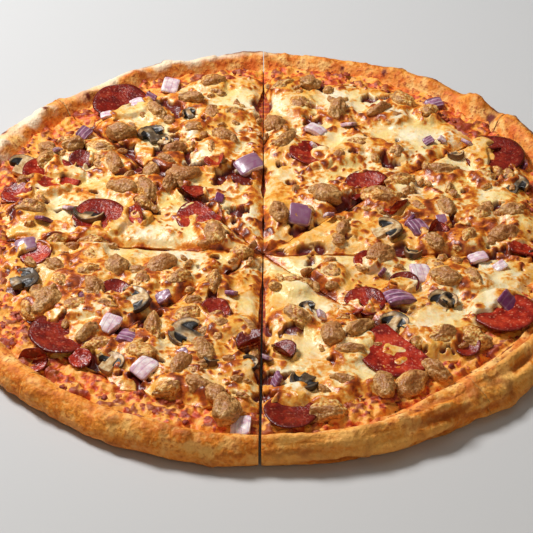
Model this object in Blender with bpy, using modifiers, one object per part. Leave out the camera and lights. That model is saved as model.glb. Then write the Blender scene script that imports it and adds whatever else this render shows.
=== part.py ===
"""Sausage pizza, 356 mm across, baked and cut into eight slices that still lie together.

Each slice is a wedge of dough with its raised rim, a thin wedge of tomato sauce and a wedge of melted
cheese. The sausage lumps are sunk in the cheese and fused to it. The pepperoni, the mushroom slices and
the larger squares of red onion are solids of their own, each in a pocket of the cheese.

Metres, +Z up. The origin is on the underside, at the middle of the pizza, and -Y is the near side.
"""

import math

import bmesh
import bpy
from mathutils import Matrix, Vector, noise

MM = 0.001

# The dough
PIZZA_RADIUS = 0.178
RIM_TOP = 0.0165
BASE_THICKNESS = 0.0070
UNDERSIDE_RADIUS = 0.169
RIM_STEPS = 72
RIM_UNEVEN = 0.0026
RIM_HEIGHT_UNEVEN = 0.16
# How far out the rim starts, every 45 degrees round from +X
RIM_FOOT_RADII = (0.159, 0.162, 0.162, 0.160, 0.156, 0.161, 0.162, 0.152)
RIM_FOOT = 0.160
# Where the rim swelled or sank: x, y, how far that reaches and how much it lifts, in millimetres
RIM_BUMPS = (
    (119, 116, 9, 4.5), (130, 106, 6, -5.0), (140, 92, 14, 2.8), (-36, -170, 30, 1.4),
    (-120, -131, 12, 1.6), (120, -131, 14, -1.2), (60, -160, 26, 1.0), (-168, 40, 30, 1.0),
)
# Below the first height a bump moves nothing, and above the second it moves the rim fully
RIM_BUMP_HEIGHTS = (0.004, 0.012)

# The sauce and the cheese
FIT = 0.0003
SAUCE_THICKNESS = 0.0011
SAUCE_RADIUS = RIM_FOOT - 0.0008
CHEESE_EDGE = 0.0100
CHEESE_RADIUS = RIM_FOOT - CHEESE_EDGE
# How much lower toppings lie past the cheese's edge
SEAT_DROP = 0.0030
CHEESE_THICKNESS = 0.0046
CHEESE_UNEVEN = 0.0011
CHEESE_EDGE_UNEVEN = 0.0035
CHEESE_RINGS = 2
LAYER_STEPS = 36
SAUCE_BOTTOM = BASE_THICKNESS + FIT
CHEESE_BOTTOM = SAUCE_BOTTOM + SAUCE_THICKNESS + FIT
CHEESE_TOP = CHEESE_BOTTOM + CHEESE_THICKNESS

# The cuts: where they cross, the way each one runs, and how each slice was pushed out and swung after
CUT_CENTRE = Vector((-0.002, -0.020, 0.0))
CUT_ANGLES = (-2.0, 41.5, 90.0, 130.0, 175.6, 222.5, 269.5, 312.5)
CUT_WIDTH = 0.0009
SLICE_PUSH = (0.0006, 0.0003, 0.0003, 0.0006, 0.0003, 0.0006, 0.0005, 0.0004)
SLICE_SWING = (-0.10, -0.02, 0.02, 0.08, 0.0, -0.14, 0.14, 0.04)

# The sausage: x, y and length of each lump, in millimetres on the plan, kept off the rim's foot
SAUSAGE_REACH = 0.0010
SAUSAGE_WIDTH_SHARE = 0.84
SAUSAGE_HEIGHT_SHARE = 0.78
SAUSAGE_SIDES = 6
SAUSAGE_RINGS = 4
SAUSAGE_CRAGGY = 0.13
SAUSAGES = (
    # Slice 1, from the right-hand cut to the next one round
    (98, 50, 17), (81, 15, 16), (97, 15, 18), (115, 8, 15), (134, 13, 15), (122, 45, 13), (134, 46, 12),
    (107, -12, 17), (127, -8, 16), (62, 24, 17), (89, -17, 14), (40, -4, 13),
    # Slice 2
    (9, 137, 14), (25, 139, 13), (18, 118, 19), (41, 111, 19), (66, 110, 15), (74, 106, 14),
    (80, 121, 15), (4, 97, 15), (9, 77, 19), (52, 77, 17), (63, 73, 13), (73, 70, 13), (42, 66, 15),
    (73, 40, 16), (31, 26, 20), (7, 10, 15), (94, 109, 12),
    # Slice 3
    (-33, 142, 17), (-44, 122, 15), (-64, 110, 15), (-31, 107, 14), (-21, 108, 14), (-42, 93, 13),
    (-24, 82, 17), (-31, 71, 17), (-52, 71, 15), (-84, 87, 18), (-57, 60, 14),
    # Slice 4
    (-85, 57, 16), (-64, 49, 18), (-46, 46, 17), (-79, 34, 16), (-66, 33, 18), (-53, 38, 16), (-108, 74, 15),
    (-94, 73, 15), (-124, 74, 13), (-124, 60, 14), (-133, 41, 16), (-128, 14, 16), (-67, 20, 12),
    (-27, -7, 18),
    # Slice 5
    (-113, -14, 14), (-92, -14, 16), (-92, -29, 15), (-78, -37, 16), (-55, -36, 17), (-93, -43, 16),
    (-111, -36, 16), (-89, -56, 18), (-113, -64, 19), (-98, -70, 17), (-84, -70, 16), (-122, -72, 13),
    (-65, -50, 14), (-46, -48, 15), (-13, -25, 12), (-107, -50, 13),
    # Slice 6
    (-27, -50, 14), (-39, -77, 16), (-22, -84, 15), (-11, -86, 15), (-57, -88, 19), (-90, -91, 16),
    (-83, -101, 14), (-62, -106, 19), (-31, -105, 16), (-42, -116, 18), (-48, -134, 15), (-34, -131, 16),
    (-24, -139, 14), (-19, -150, 18), (-11, -119, 12),
    # Slice 7
    (15, -50, 16), (15, -79, 17), (33, -93, 16), (46, -90, 16), (41, -106, 16), (83, -119, 15),
    (57, -131, 16), (75, -134, 19), (29, -149, 19), (37, -128, 14), (12, -138, 14),
    # Slice 8
    (33, -43, 15), (59, -27, 17), (93, -47, 20), (107, -49, 15), (75, -95, 14), (87, -96, 17), (104, -94, 17),
)

# The pepperoni: x, y, radius and the way it tips, as the lean and the bearing of its high side
PEPPERONI_THICKNESS = 0.0018
PEPPERONI_CUP = 0.0016
PEPPERONI_SIDES = 14
PEPPERONI = (
    (-85, 120, 17, 7, 120), (-119, 47, 17, 8, 180), (-90, 6, 15, 8, 100), (-36, 8, 13, 7, 60),
    (-103, -91, 17, 4, 200), (64, -105, 19, 6, 100), (121, -74, 17, 5, 300), (26, 67, 14, 12, 200),
    (55, 36, 13, 10, 60), (50, -66, 11, 6, 60), (11, -150, 13, 5, 250), (128, 66, 17, 5, 40),
)

# The mushroom slices: x, y, width of the cap and the bearing of the stem
MUSHROOM_THICKNESS = 0.0030
MUSHROOMS = (
    (-136, 57, 17, 250), (-96, 10, 18, 70), (-126, -48, 17, 200), (-69, -66, 20, 200), (-40, -92, 20, 330),
    (-77, -113, 15, 240), (-66, 87, 16, 300), (64, -5, 18, 200), (137, 38, 16, 240), (64, -84, 16, 240),
    (18, -128, 15, 60), (90, -66, 16, 250),
)

# The red onion: x, y, width and bearing of each square cut from a curved layer
ONION_LENGTH_SHARE = 0.80
ONION_LAYER = 0.0034
ONION_BEND_RADIUS = 0.018
ONION_ARC_POINTS = 4
ONIONS = (
    (-10, 56, 15, 30), (-57, 140, 12, 80), (98, 122, 10, 15), (28, 91, 11, 150), (18, 9, 15, 85),
    (81, -3, 12, 120), (80, -42, 13, 100), (68, -62, 16, 200), (-128, -19, 11, 10), (-79, -85, 12, 70),
    (-67, -96, 14, 160), (-60, -118, 13, 50),
)


def clear_scene():
    for old in list(bpy.data.objects):
        bpy.data.objects.remove(old)


def make_material(name, colour, roughness):
    made = bpy.data.materials.new(name)
    made.use_nodes = True
    shader = made.node_tree.nodes["Principled BSDF"]
    shader.inputs["Base Color"].default_value = (*colour, 1.0)
    shader.inputs["Roughness"].default_value = roughness
    shader.inputs["Metallic"].default_value = 0.0
    return made


def make_collection(name, helper=False):
    made = bpy.data.collections.new(name)
    bpy.context.scene.collection.children.link(made)
    made.hide_render = helper
    return made


def add_object(name, mesh, collection, finish=None):
    made = bpy.data.objects.new(name, mesh)
    collection.objects.link(made)
    if finish:
        mesh.materials.clear()
        mesh.materials.append(finish)
    return made


def evaluated_mesh(obj):
    """The object's mesh with its modifiers applied, in the object's own frame."""
    bpy.context.view_layer.update()
    graph = bpy.context.evaluated_depsgraph_get()
    return bpy.data.meshes.new_from_object(obj.evaluated_get(graph))


def turned_mesh(outline, steps):
    """A profile of (radius, height) points from the axis, out and down, turned right round."""
    profile = bpy.data.meshes.new("profile")
    edges = [(i, i + 1) for i in range(len(outline) - 1)]
    profile.from_pydata([(radius, 0.0, height) for radius, height in outline], edges, [])
    turned = add_object("turned", profile, bpy.context.scene.collection)
    screw = turned.modifiers.new("Screw", "SCREW")
    screw.angle = math.tau
    screw.steps = screw.render_steps = steps
    screw.use_merge_vertices = True
    screw.merge_threshold = 0.00001
    mesh = evaluated_mesh(turned)
    bpy.data.objects.remove(turned)
    return mesh


def wave(x, y, size, layer):
    """Smooth noise from -1 to 1 that changes over about the given size."""
    return noise.noise(Vector((x / size, y / size, 7.3 * layer)))


def moved_points(mesh, rule):
    for vertex in mesh.vertices:
        vertex.co = rule(vertex.co)
    mesh.update()


def foot_radius(x, y):
    """Where the rim starts on the bearing of a point, read between the eight given radii."""
    bearing = (math.atan2(y, x) % math.tau) / math.tau * len(RIM_FOOT_RADII)
    before = int(bearing) % len(RIM_FOOT_RADII)
    share = (1 - math.cos(math.pi * (bearing % 1.0))) / 2
    return RIM_FOOT_RADII[before] * (1 - share) + RIM_FOOT_RADII[(before + 1) % len(RIM_FOOT_RADII)] * share


def eased(low, high, value):
    """Rises smoothly from 0 at low to 1 at high."""
    share = min(max((value - low) / (high - low), 0.0), 1.0)
    return share * share * (3 - 2 * share)


def bump_lift(x, y, height):
    """How far the bumps lift a point of the rim."""
    lift = 0.0
    for bump_x, bump_y, reach, rise in RIM_BUMPS:
        away = math.hypot(x - bump_x * MM, y - bump_y * MM) / (reach * MM)
        lift += rise * MM * math.exp(-away * away)
    return lift * eased(*RIM_BUMP_HEIGHTS, height)


def uneven_rim(point):
    """Gives the rim its changing width, and pushes it in and out and up and down."""
    radius = math.hypot(point.x, point.y)
    if radius == 0.0:
        return point
    foot = foot_radius(point.x, point.y)
    if point.z == 0.0 or radius <= RIM_FOOT:
        return Vector((point.x * foot / RIM_FOOT, point.y * foot / RIM_FOOT, point.z))
    share = (radius - RIM_FOOT) / (PIZZA_RADIUS - RIM_FOOT)
    out = share * RIM_UNEVEN * (wave(point.x, point.y, 0.055, 1) + 0.5 * wave(point.x, point.y, 0.022, 2))
    stretch = (foot + share * (PIZZA_RADIUS - foot) + out) / radius
    x, y = point.x * stretch, point.y * stretch
    height = point.z
    if share > 0.01:
        uneven = wave(point.x, point.y, 0.040, 3) + 0.6 * wave(point.x, point.y, 0.015, 4)
        height = point.z * (1.0 + RIM_HEIGHT_UNEVEN * uneven) + bump_lift(x, y, point.z)
    return Vector((x, y, height))


def dough_mesh():
    outline = [
        (0.0, BASE_THICKNESS),
        (RIM_FOOT, BASE_THICKNESS),
        (RIM_FOOT + 0.003, 0.65 * RIM_TOP),
        (RIM_FOOT + 0.006, 0.92 * RIM_TOP),
        (RIM_FOOT + 0.010, RIM_TOP),
        (RIM_FOOT + 0.014, 0.88 * RIM_TOP),
        (PIZZA_RADIUS - 0.001, 0.60 * RIM_TOP),
        (PIZZA_RADIUS, 0.32 * RIM_TOP),
        (PIZZA_RADIUS - 0.002, 0.12 * RIM_TOP),
        (UNDERSIDE_RADIUS, 0.0),
        (0.0, 0.0),
    ]
    mesh = turned_mesh(outline, RIM_STEPS)
    moved_points(mesh, uneven_rim)
    return mesh


def sauce_mesh():
    outline = [
        (0.0, SAUCE_BOTTOM + SAUCE_THICKNESS),
        (SAUCE_RADIUS - 0.003, SAUCE_BOTTOM + SAUCE_THICKNESS),
        (SAUCE_RADIUS, SAUCE_BOTTOM + 0.5 * SAUCE_THICKNESS),
        (SAUCE_RADIUS - 0.0015, SAUCE_BOTTOM),
        (0.0, SAUCE_BOTTOM),
    ]
    mesh = turned_mesh(outline, LAYER_STEPS)

    def uneven_edge(point):
        radius = math.hypot(point.x, point.y)
        if radius == 0.0:
            return point
        stretch = foot_radius(point.x, point.y) / RIM_FOOT
        if radius > 0.9 * SAUCE_RADIUS:
            stretch -= 0.0012 * (1.0 + wave(point.x, point.y, 0.020, 5)) / radius
        return Vector((point.x * stretch, point.y * stretch, point.z))

    moved_points(mesh, uneven_edge)
    return mesh


def cheese_height(x, y):
    return CHEESE_TOP + CHEESE_UNEVEN * (wave(x, y, 0.045, 6) + 0.5 * wave(x, y, 0.024, 7))


def seat_height(x, y):
    """The height on which toppings lie: the cheese, and lower past its edge."""
    beyond = math.hypot(x, y) - (foot_radius(x, y) - CHEESE_EDGE)
    return cheese_height(x, y) - SEAT_DROP * eased(-0.002, 0.006, beyond)


def cheese_mesh():
    radii = [CHEESE_RADIUS * i / CHEESE_RINGS for i in range(CHEESE_RINGS)]
    outline = [(radius, CHEESE_TOP) for radius in radii]
    outline += [
        (CHEESE_RADIUS - 0.004, CHEESE_TOP - 0.0006),
        (CHEESE_RADIUS, CHEESE_BOTTOM + 0.0016),
        (CHEESE_RADIUS - 0.002, CHEESE_BOTTOM),
        (0.0, CHEESE_BOTTOM),
    ]
    mesh = turned_mesh(outline, LAYER_STEPS)

    def melted(point):
        radius = math.hypot(point.x, point.y)
        if radius == 0.0:
            return point
        stretch = foot_radius(point.x, point.y) / RIM_FOOT
        if radius > 0.9 * CHEESE_RADIUS:
            stretch += CHEESE_EDGE_UNEVEN * (wave(point.x, point.y, 0.018, 8) - 0.45) / radius
        height = point.z
        if height > CHEESE_BOTTOM + 0.002:
            height += cheese_height(point.x, point.y) - CHEESE_TOP
        return Vector((point.x * stretch, point.y * stretch, height))

    moved_points(mesh, melted)
    return mesh


def sausage_lumps(collection):
    """Craggy lumps, sunk in the cheese and kept off its underside."""
    lowest = CHEESE_BOTTOM + 0.0010
    for number, (x, y, length) in enumerate(SAUSAGES):
        place = Vector((x * MM, y * MM, 0.0))
        reach = foot_radius(place.x, place.y) - SAUSAGE_REACH - 0.45 * length * MM
        if place.length > reach:
            place *= reach / place.length
        half = length * MM / 2
        bpy.ops.mesh.primitive_uv_sphere_add(segments=SAUSAGE_SIDES, ring_count=SAUSAGE_RINGS, radius=half)
        lump = bpy.context.active_object
        lump.name = f"sausage_{number + 1}"
        for owner in list(lump.users_collection):
            owner.objects.unlink(lump)
        collection.objects.link(lump)
        turn = Matrix.Rotation(2.4 * number, 3, "Z")
        height = seat_height(place.x, place.y) + 0.0012
        for vertex in lump.data.vertices:
            way = vertex.co.normalized()
            craggy = 1.0 + SAUSAGE_CRAGGY * noise.noise(2.2 * way + Vector((number, 0.0, 0.0)))
            point = vertex.co * craggy
            point.y *= SAUSAGE_WIDTH_SHARE
            point.z *= SAUSAGE_HEIGHT_SHARE
            point = turn @ point + place
            vertex.co = (point.x, point.y, max(point.z + height, lowest))
        lump.data.update()


def lean_of(lean, bearing):
    """The tilt that raises the side which lies at the given bearing, both in degrees."""
    axis = Matrix.Rotation(math.radians(bearing), 3, "Z") @ Vector((0.0, 1.0, 0.0))
    return Matrix.Rotation(math.radians(-lean), 4, axis)


def outline_mesh(points, depth):
    """A flat outline as a filled curve, extruded to the given depth about its own middle."""
    curve = bpy.data.curves.new("outline", "CURVE")
    curve.dimensions = "2D"
    curve.fill_mode = "BOTH"
    curve.extrude = depth / 2
    spline = curve.splines.new("POLY")
    spline.points.add(len(points) - 1)
    for spot, (x, y) in zip(spline.points, points):
        spot.co = (x, y, 0.0, 1.0)
    spline.use_cyclic_u = True
    drawn = add_object("outline", curve, bpy.context.scene.collection)
    mesh = evaluated_mesh(drawn)
    bpy.data.objects.remove(drawn)
    joined = bmesh.new()
    joined.from_mesh(mesh)
    bmesh.ops.remove_doubles(joined, verts=joined.verts, dist=0.00001)
    joined.to_mesh(mesh)
    joined.free()
    return mesh


def pepperoni_mesh(radius, grow):
    """A thin disc whose edge has cupped upwards."""
    radius += grow
    half = PEPPERONI_THICKNESS / 2 + grow
    outline = [
        (0.0, half),
        (0.55 * radius, half + 0.25 * PEPPERONI_CUP),
        (radius, half + PEPPERONI_CUP),
        (radius, PEPPERONI_CUP - half),
        (0.0, -half),
    ]
    return turned_mesh(outline, PEPPERONI_SIDES)


def mushroom_mesh(width, grow):
    """A slice down through the middle: a domed cap that curls in below, and a stem."""
    cap = width / 2
    stem = 0.20 * width
    foot = 0.42 * width
    rows = [(cap * math.cos(a), 0.95 * cap * math.sin(a)) for a in (i * math.pi / 7 for i in range(8))]
    rows += [(-0.86 * cap, -0.22 * cap), (-stem, -0.05 * cap), (-1.15 * stem, -foot), (1.15 * stem, -foot)]
    rows += [(stem, -0.05 * cap), (0.86 * cap, -0.22 * cap)]
    middle = Vector((0.0, 0.1 * cap))
    grown = []
    for x, y in rows:
        away = (Vector((x, y)) - middle).normalized()
        grown.append((x + 2.2 * grow * away.x, y + 2.2 * grow * away.y))
    return outline_mesh(grown, MUSHROOM_THICKNESS + 2 * grow)


def onion_mesh(width, grow):
    """A square from a layer of the bulb, so it bends along its width."""
    half_angle = width / ONION_BEND_RADIUS / 2
    inner = ONION_BEND_RADIUS - ONION_LAYER / 2 - grow
    outer = ONION_BEND_RADIUS + ONION_LAYER / 2 + grow
    spread = half_angle + grow / ONION_BEND_RADIUS
    turns = [spread * (2 * i / (ONION_ARC_POINTS - 1) - 1) for i in range(ONION_ARC_POINTS)]
    arc = [(outer * math.sin(a), outer * math.cos(a) - ONION_BEND_RADIUS) for a in turns]
    arc += [(inner * math.sin(a), inner * math.cos(a) - ONION_BEND_RADIUS) for a in reversed(turns)]
    mesh = outline_mesh(arc, ONION_LENGTH_SHARE * width + 2 * grow)
    mesh.transform(Matrix.Rotation(math.pi / 2, 4, "X"))
    return mesh


def topping_places():
    """Every topping with a solid of its own: its name, how to make it, and where it lies."""
    found = []
    for number, (x, y, radius, lean, bearing) in enumerate(PEPPERONI):
        height = seat_height(x * MM, y * MM) + 0.0004
        place = Matrix.Translation((x * MM, y * MM, height)) @ lean_of(lean, bearing)
        found.append((f"pepperoni_{number + 1}", pepperoni_mesh, radius * MM, place))
    for number, (x, y, width, bearing) in enumerate(MUSHROOMS):
        height = seat_height(x * MM, y * MM) + 0.0010
        spun = Matrix.Rotation(math.radians(bearing + 90), 4, "Z") @ lean_of(9, 90)
        found.append((f"mushroom_{number + 1}", mushroom_mesh, width * MM,
                      Matrix.Translation((x * MM, y * MM, height)) @ spun))
    for number, (x, y, width, bearing) in enumerate(ONIONS):
        height = seat_height(x * MM, y * MM) + 0.0018
        spun = Matrix.Rotation(math.radians(bearing), 4, "Z") @ lean_of(14, 45)
        found.append((f"onion_{number + 1}", onion_mesh, width * MM,
                      Matrix.Translation((x * MM, y * MM, height)) @ spun))
    return found


def topping_mesh(make, size, place, grow=0.0):
    """A topping in its own frame, pressed flat where it would sink through the cheese."""
    mesh = make(size, grow)
    mesh.transform(place)
    lowest = CHEESE_BOTTOM + 0.0012 - grow
    for vertex in mesh.vertices:
        vertex.co.z = max(vertex.co.z, lowest)
    mesh.transform(place.inverted())
    return mesh


def pocket_cutters(places, collection):
    """A slightly larger copy of each topping."""
    for name, make, size, place in places:
        pocket = add_object(f"pocket_{name}", topping_mesh(make, size, place, FIT + 0.0001), collection)
        pocket.matrix_world = place


def dented(mesh, place, over):
    """The topping with room left for those that lie over it."""
    near = [other for other in over if (other[3].translation - place.translation).length < 0.045]
    if not near:
        return mesh
    topping = add_object("topping", mesh, bpy.context.scene.collection)
    topping.matrix_world = place
    pockets = make_collection("dents", helper=True)
    pocket_cutters(near, pockets)
    boolean_of(topping, "DIFFERENCE", pockets, "MANIFOLD")
    mesh = topping.data
    bpy.data.objects.remove(topping)
    return mesh


def boolean_of(obj, operation, collection, solver="EXACT"):
    change = obj.modifiers.new(operation.title(), "BOOLEAN")
    change.operation = operation
    change.operand_type = "COLLECTION"
    change.collection = collection
    change.solver = solver
    mesh = evaluated_mesh(obj)
    obj.modifiers.clear()
    obj.data = mesh
    for used in list(collection.objects):
        bpy.data.objects.remove(used)
    bpy.data.collections.remove(collection)


def keep_largest_body(shape):
    """Drops the loose scraps that a cut leaves."""
    unseen = set(shape.faces)
    bodies = []
    while unseen:
        body, front = [], [unseen.pop()]
        while front:
            face = front.pop()
            body.append(face)
            near = {other for edge in face.edges for other in edge.link_faces} & unseen
            unseen -= near
            front += near
        bodies.append(body)
    bodies.sort(key=len)
    for body in bodies[:-1]:
        bmesh.ops.delete(shape, geom=body, context="FACES")


def wedge_mesh(number):
    """The room between two neighbouring cuts, as a tall prism."""
    first = math.radians(CUT_ANGLES[number])
    second = math.radians(CUT_ANGLES[(number + 1) % len(CUT_ANGLES)])
    turn = (second - first) % math.tau
    middle = first + turn / 2
    tip = CUT_CENTRE.xy + CUT_WIDTH / 2 / math.sin(turn / 2) * Vector((math.cos(middle), math.sin(middle)))
    corners = [tip]
    for angle in (first, second):
        corners.append(tip + 3 * PIZZA_RADIUS * Vector((math.cos(angle), math.sin(angle))))
    return outline_mesh(corners, 0.1)


def slice_mesh(whole, number, place=Matrix()):
    """The part of a layer or a topping that lies between two neighbouring cuts."""
    layer = add_object("layer", whole.copy(), bpy.context.scene.collection)
    wedge = make_collection("wedge", helper=True)
    add_object("wedge", wedge_mesh(number), wedge).matrix_world = place.inverted()
    boolean_of(layer, "INTERSECT", wedge, "MANIFOLD")
    mesh = layer.data
    bpy.data.objects.remove(layer)
    shape = bmesh.new()
    shape.from_mesh(mesh)
    keep_largest_body(shape)
    bmesh.ops.dissolve_limit(shape, angle_limit=math.radians(0.5), verts=shape.verts[:], edges=shape.edges[:])
    bmesh.ops.triangulate(shape, faces=shape.faces[:])
    shape.to_mesh(mesh)
    shape.free()
    return mesh


def slice_at(x, y):
    """The number of the slice that a point of the plan lies in."""
    bearing = math.degrees(math.atan2(y - CUT_CENTRE.y, x - CUT_CENTRE.x))
    bearing = (bearing - CUT_ANGLES[0]) % 360.0
    return sum(bearing >= angle - CUT_ANGLES[0] for angle in CUT_ANGLES) - 1


def slice_empties(collection):
    """One empty for each slice, pushed out from the place where the cuts cross and swung about it."""
    made = []
    for number, (push, swing) in enumerate(zip(SLICE_PUSH, SLICE_SWING)):
        first = CUT_ANGLES[number]
        middle = math.radians(first + ((CUT_ANGLES[(number + 1) % 8] - first) % 360.0) / 2)
        turn = Matrix.Rotation(math.radians(swing), 3, "Z")
        outward = Vector((push * math.cos(middle), push * math.sin(middle), 0.0))
        empty = bpy.data.objects.new(f"slice_{number + 1}", None)
        empty.location = CUT_CENTRE + outward - turn @ CUT_CENTRE
        empty.rotation_euler = turn.to_euler()
        collection.objects.link(empty)
        made.append(empty)
    return made


def centre_on_origin(empties):
    """Moves the slices together, so that the middle of their box stands over the origin."""
    bpy.context.view_layer.update()
    corners = [
        child.matrix_world @ vertex.co
        for empty in empties for child in empty.children for vertex in child.data.vertices
    ]
    middle_x = (min(point.x for point in corners) + max(point.x for point in corners)) / 2
    middle_y = (min(point.y for point in corners) + max(point.y for point in corners)) / 2
    for empty in empties:
        empty.location -= Vector((middle_x, middle_y, 0.0))


def add_part(name, mesh, empty, collection, finish):
    made = add_object(name, mesh, collection, finish)
    made.parent = empty
    mesh.shade_smooth()
    mesh.set_sharp_from_angle(angle=math.radians(50))
    return made


def build():
    clear_scene()
    pizza = make_collection("sausage_pizza")
    dough = make_material("baked_dough", (0.80, 0.55, 0.28), 0.75)
    sauce = make_material("tomato_sauce", (0.62, 0.12, 0.04), 0.45)
    cheese = make_material("melted_cheese", (0.93, 0.78, 0.45), 0.40)
    finishes = {
        "pepperoni": make_material("pepperoni", (0.52, 0.07, 0.04), 0.35),
        "mushroom": make_material("mushroom", (0.55, 0.43, 0.28), 0.55),
        "onion": make_material("red_onion", (0.66, 0.38, 0.50), 0.35),
    }
    empties = slice_empties(pizza)
    places = topping_places()

    topped = add_object("cheese", cheese_mesh(), bpy.context.scene.collection)
    lumps = make_collection("lumps", helper=True)
    sausage_lumps(lumps)
    boolean_of(topped, "UNION", lumps)
    pockets = make_collection("pockets", helper=True)
    pocket_cutters(places, pockets)
    boolean_of(topped, "DIFFERENCE", pockets)

    for layer, whole, finish in (
        ("dough", dough_mesh(), dough), ("sauce", sauce_mesh(), sauce), ("cheese", topped.data, cheese),
    ):
        for number, empty in enumerate(empties):
            add_part(f"{layer}_{number + 1}", slice_mesh(whole, number), empty, pizza, finish)
    bpy.data.objects.remove(topped)

    for order, (name, make, size, place) in enumerate(places):
        number = slice_at(place.translation.x, place.translation.y)
        whole = slice_mesh(dented(topping_mesh(make, size, place), place, places[order + 1:]), number, place)
        part = add_part(name, whole, empties[number], pizza, finishes[name.split("_")[0]])
        part.location = place.translation
        part.rotation_euler = place.to_euler()
    centre_on_origin(empties)


build()
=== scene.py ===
# %% [markdown]
# # A sausage pizza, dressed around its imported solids
#
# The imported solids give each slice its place. This script gives every slice the surface that the
# eye knows: an uneven baked rim, sauce that bubbled along its edge, cheese with browned blisters,
# and crumbly lumps of sausage. All lengths are in metres, and +Z is up.

import math

import bpy
import numpy as np
from mathutils import Matrix, Vector, noise


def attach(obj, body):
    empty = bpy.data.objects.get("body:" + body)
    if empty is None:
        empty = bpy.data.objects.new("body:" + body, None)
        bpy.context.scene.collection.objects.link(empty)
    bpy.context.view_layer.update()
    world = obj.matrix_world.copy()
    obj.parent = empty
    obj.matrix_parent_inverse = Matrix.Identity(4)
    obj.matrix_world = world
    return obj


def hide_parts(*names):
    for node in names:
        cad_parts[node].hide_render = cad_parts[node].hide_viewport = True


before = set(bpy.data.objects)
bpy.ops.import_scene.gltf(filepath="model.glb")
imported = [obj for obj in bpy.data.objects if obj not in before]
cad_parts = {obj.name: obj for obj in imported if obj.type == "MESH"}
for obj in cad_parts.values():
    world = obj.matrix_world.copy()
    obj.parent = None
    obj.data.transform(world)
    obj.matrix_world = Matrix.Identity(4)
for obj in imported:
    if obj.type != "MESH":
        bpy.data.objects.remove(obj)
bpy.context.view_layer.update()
bpy.ops.object.select_all(action="DESELECT")
MM = 0.001

# %% [markdown]
# ## Camera
#
# The viewing angle comes from the outline: a circle seen from this many degrees above the horizon
# looks this flat. A long lens from about a metre away keeps the far rim nearly as large as the
# near one.

# %% Camera
CAMERA_ELEVATION = math.radians(37.71)
CAMERA_DISTANCE = 1.1
CAMERA_LENS = 138.5
CAMERA_AIM = Vector((-0.0002, -0.0179, 0.0))

bpy.ops.object.camera_add()
camera = bpy.context.object
camera.location = CAMERA_AIM + CAMERA_DISTANCE * Vector(
    (0.0, -math.cos(CAMERA_ELEVATION), math.sin(CAMERA_ELEVATION))
)
camera.rotation_euler = (math.pi / 2 - CAMERA_ELEVATION, 0.0, 0.0)
camera.data.lens = CAMERA_LENS
camera.data.sensor_width = 36.0
bpy.context.scene.camera = camera
print("camera at", tuple(round(value, 3) for value in camera.location))

# %% [markdown]
# ## Light and floor
#
# Food is lit by a large soft window from behind and to the left, so that its wet surfaces catch
# the light. A weak, warm fill from the viewer's side keeps the front of the rim from going dark.

# %% Light and floor
WHITE = (1.0, 1.0, 1.0)
WARM = (1.0, 0.80, 0.54)
LIGHTS = (
    # name, place, size, power and colour
    ("window", (-0.66, 0.42, 0.98), 0.34, 19.5, WHITE),
    ("ceiling", (0.20, 0.10, 1.30), 1.20, 1.5, WHITE),
    ("fill", (0.35, -1.10, 0.70), 1.00, 2.7, WARM),
)
ROOM_COLOUR = (1.0, 0.98, 0.95, 1.0)
ROOM_STRENGTH = 0.065
FLOOR_SIZE = 6.0
FLOOR_GREY = 0.56


def soft_light(name, place, size, power, colour):
    bpy.ops.object.light_add(type="AREA", location=place)
    light = bpy.context.object
    light.name = name
    light.data.shape = "SQUARE"
    light.data.size = size
    light.data.energy = power
    light.data.color = colour
    light.rotation_euler = (-Vector(place)).to_track_quat("-Z", "Y").to_euler()
    return light


for light_facts in LIGHTS:
    soft_light(*light_facts)
world = bpy.data.worlds.new("pale_room")
world.use_nodes = True
background = world.node_tree.nodes["Background"]
background.inputs["Color"].default_value = ROOM_COLOUR
background.inputs["Strength"].default_value = ROOM_STRENGTH
bpy.context.scene.world = world
bpy.context.scene.view_settings.view_transform = "Standard"
bpy.ops.mesh.primitive_plane_add(size=FLOOR_SIZE, location=(0.0, 0.0, 0.0))
floor = bpy.context.object
floor.name = "floor"
pale_floor = bpy.data.materials.new("pale_grey_plaster")
pale_floor.use_nodes = True
floor_shader = pale_floor.node_tree.nodes["Principled BSDF"]
floor_shader.inputs["Base Color"].default_value = (FLOOR_GREY, FLOOR_GREY, FLOOR_GREY, 1.0)
floor_shader.inputs["Roughness"].default_value = 0.9
floor.data.materials.append(pale_floor)
print("lights:", len(LIGHTS), "and a floor")

# %% [markdown]
# ## Helpers for materials
#
# A colour is written as it looks on a screen, in hexadecimal, and one function turns it into the
# linear values that a shader works in. One function adds a node with its settings and links. Most
# finishes are then built up in tints: each lays one colour over the last where some level is high,
# such as the browning that was painted on the cheese, or a fine random speckle.

# %% Helpers for materials


def linear(code, alpha=1.0):
    """A colour such as D9A25F as the linear values that a shader reads."""
    shares = [int(code[i:i + 2], 16) / 255 for i in (0, 2, 4)]
    return tuple(s / 12.92 if s <= 0.04045 else ((s + 0.055) / 1.055) ** 2.4 for s in shares) + (alpha,)


def add_node(tree, kind, settings=None, links=None, stops=None):
    """Adds a node, sets its values and sockets, and links its inputs to other nodes' outputs."""
    node = tree.nodes.new(kind)
    for key, value in (settings or {}).items():
        if isinstance(key, int) or key in node.inputs:
            node.inputs[key].default_value = value
        else:
            setattr(node, key, value)
    for key, source in (links or {}).items():
        tree.links.new(source, node.inputs[key])
    if stops:
        elements = node.color_ramp.elements
        elements[0].position, elements[1].position = stops[0][0], stops[-1][0]
        elements[0].color, elements[1].color = linear(stops[0][1]), linear(stops[-1][1])
        for place, code in stops[1:-1]:
            elements.new(place).color = linear(code)
    return node


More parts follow.
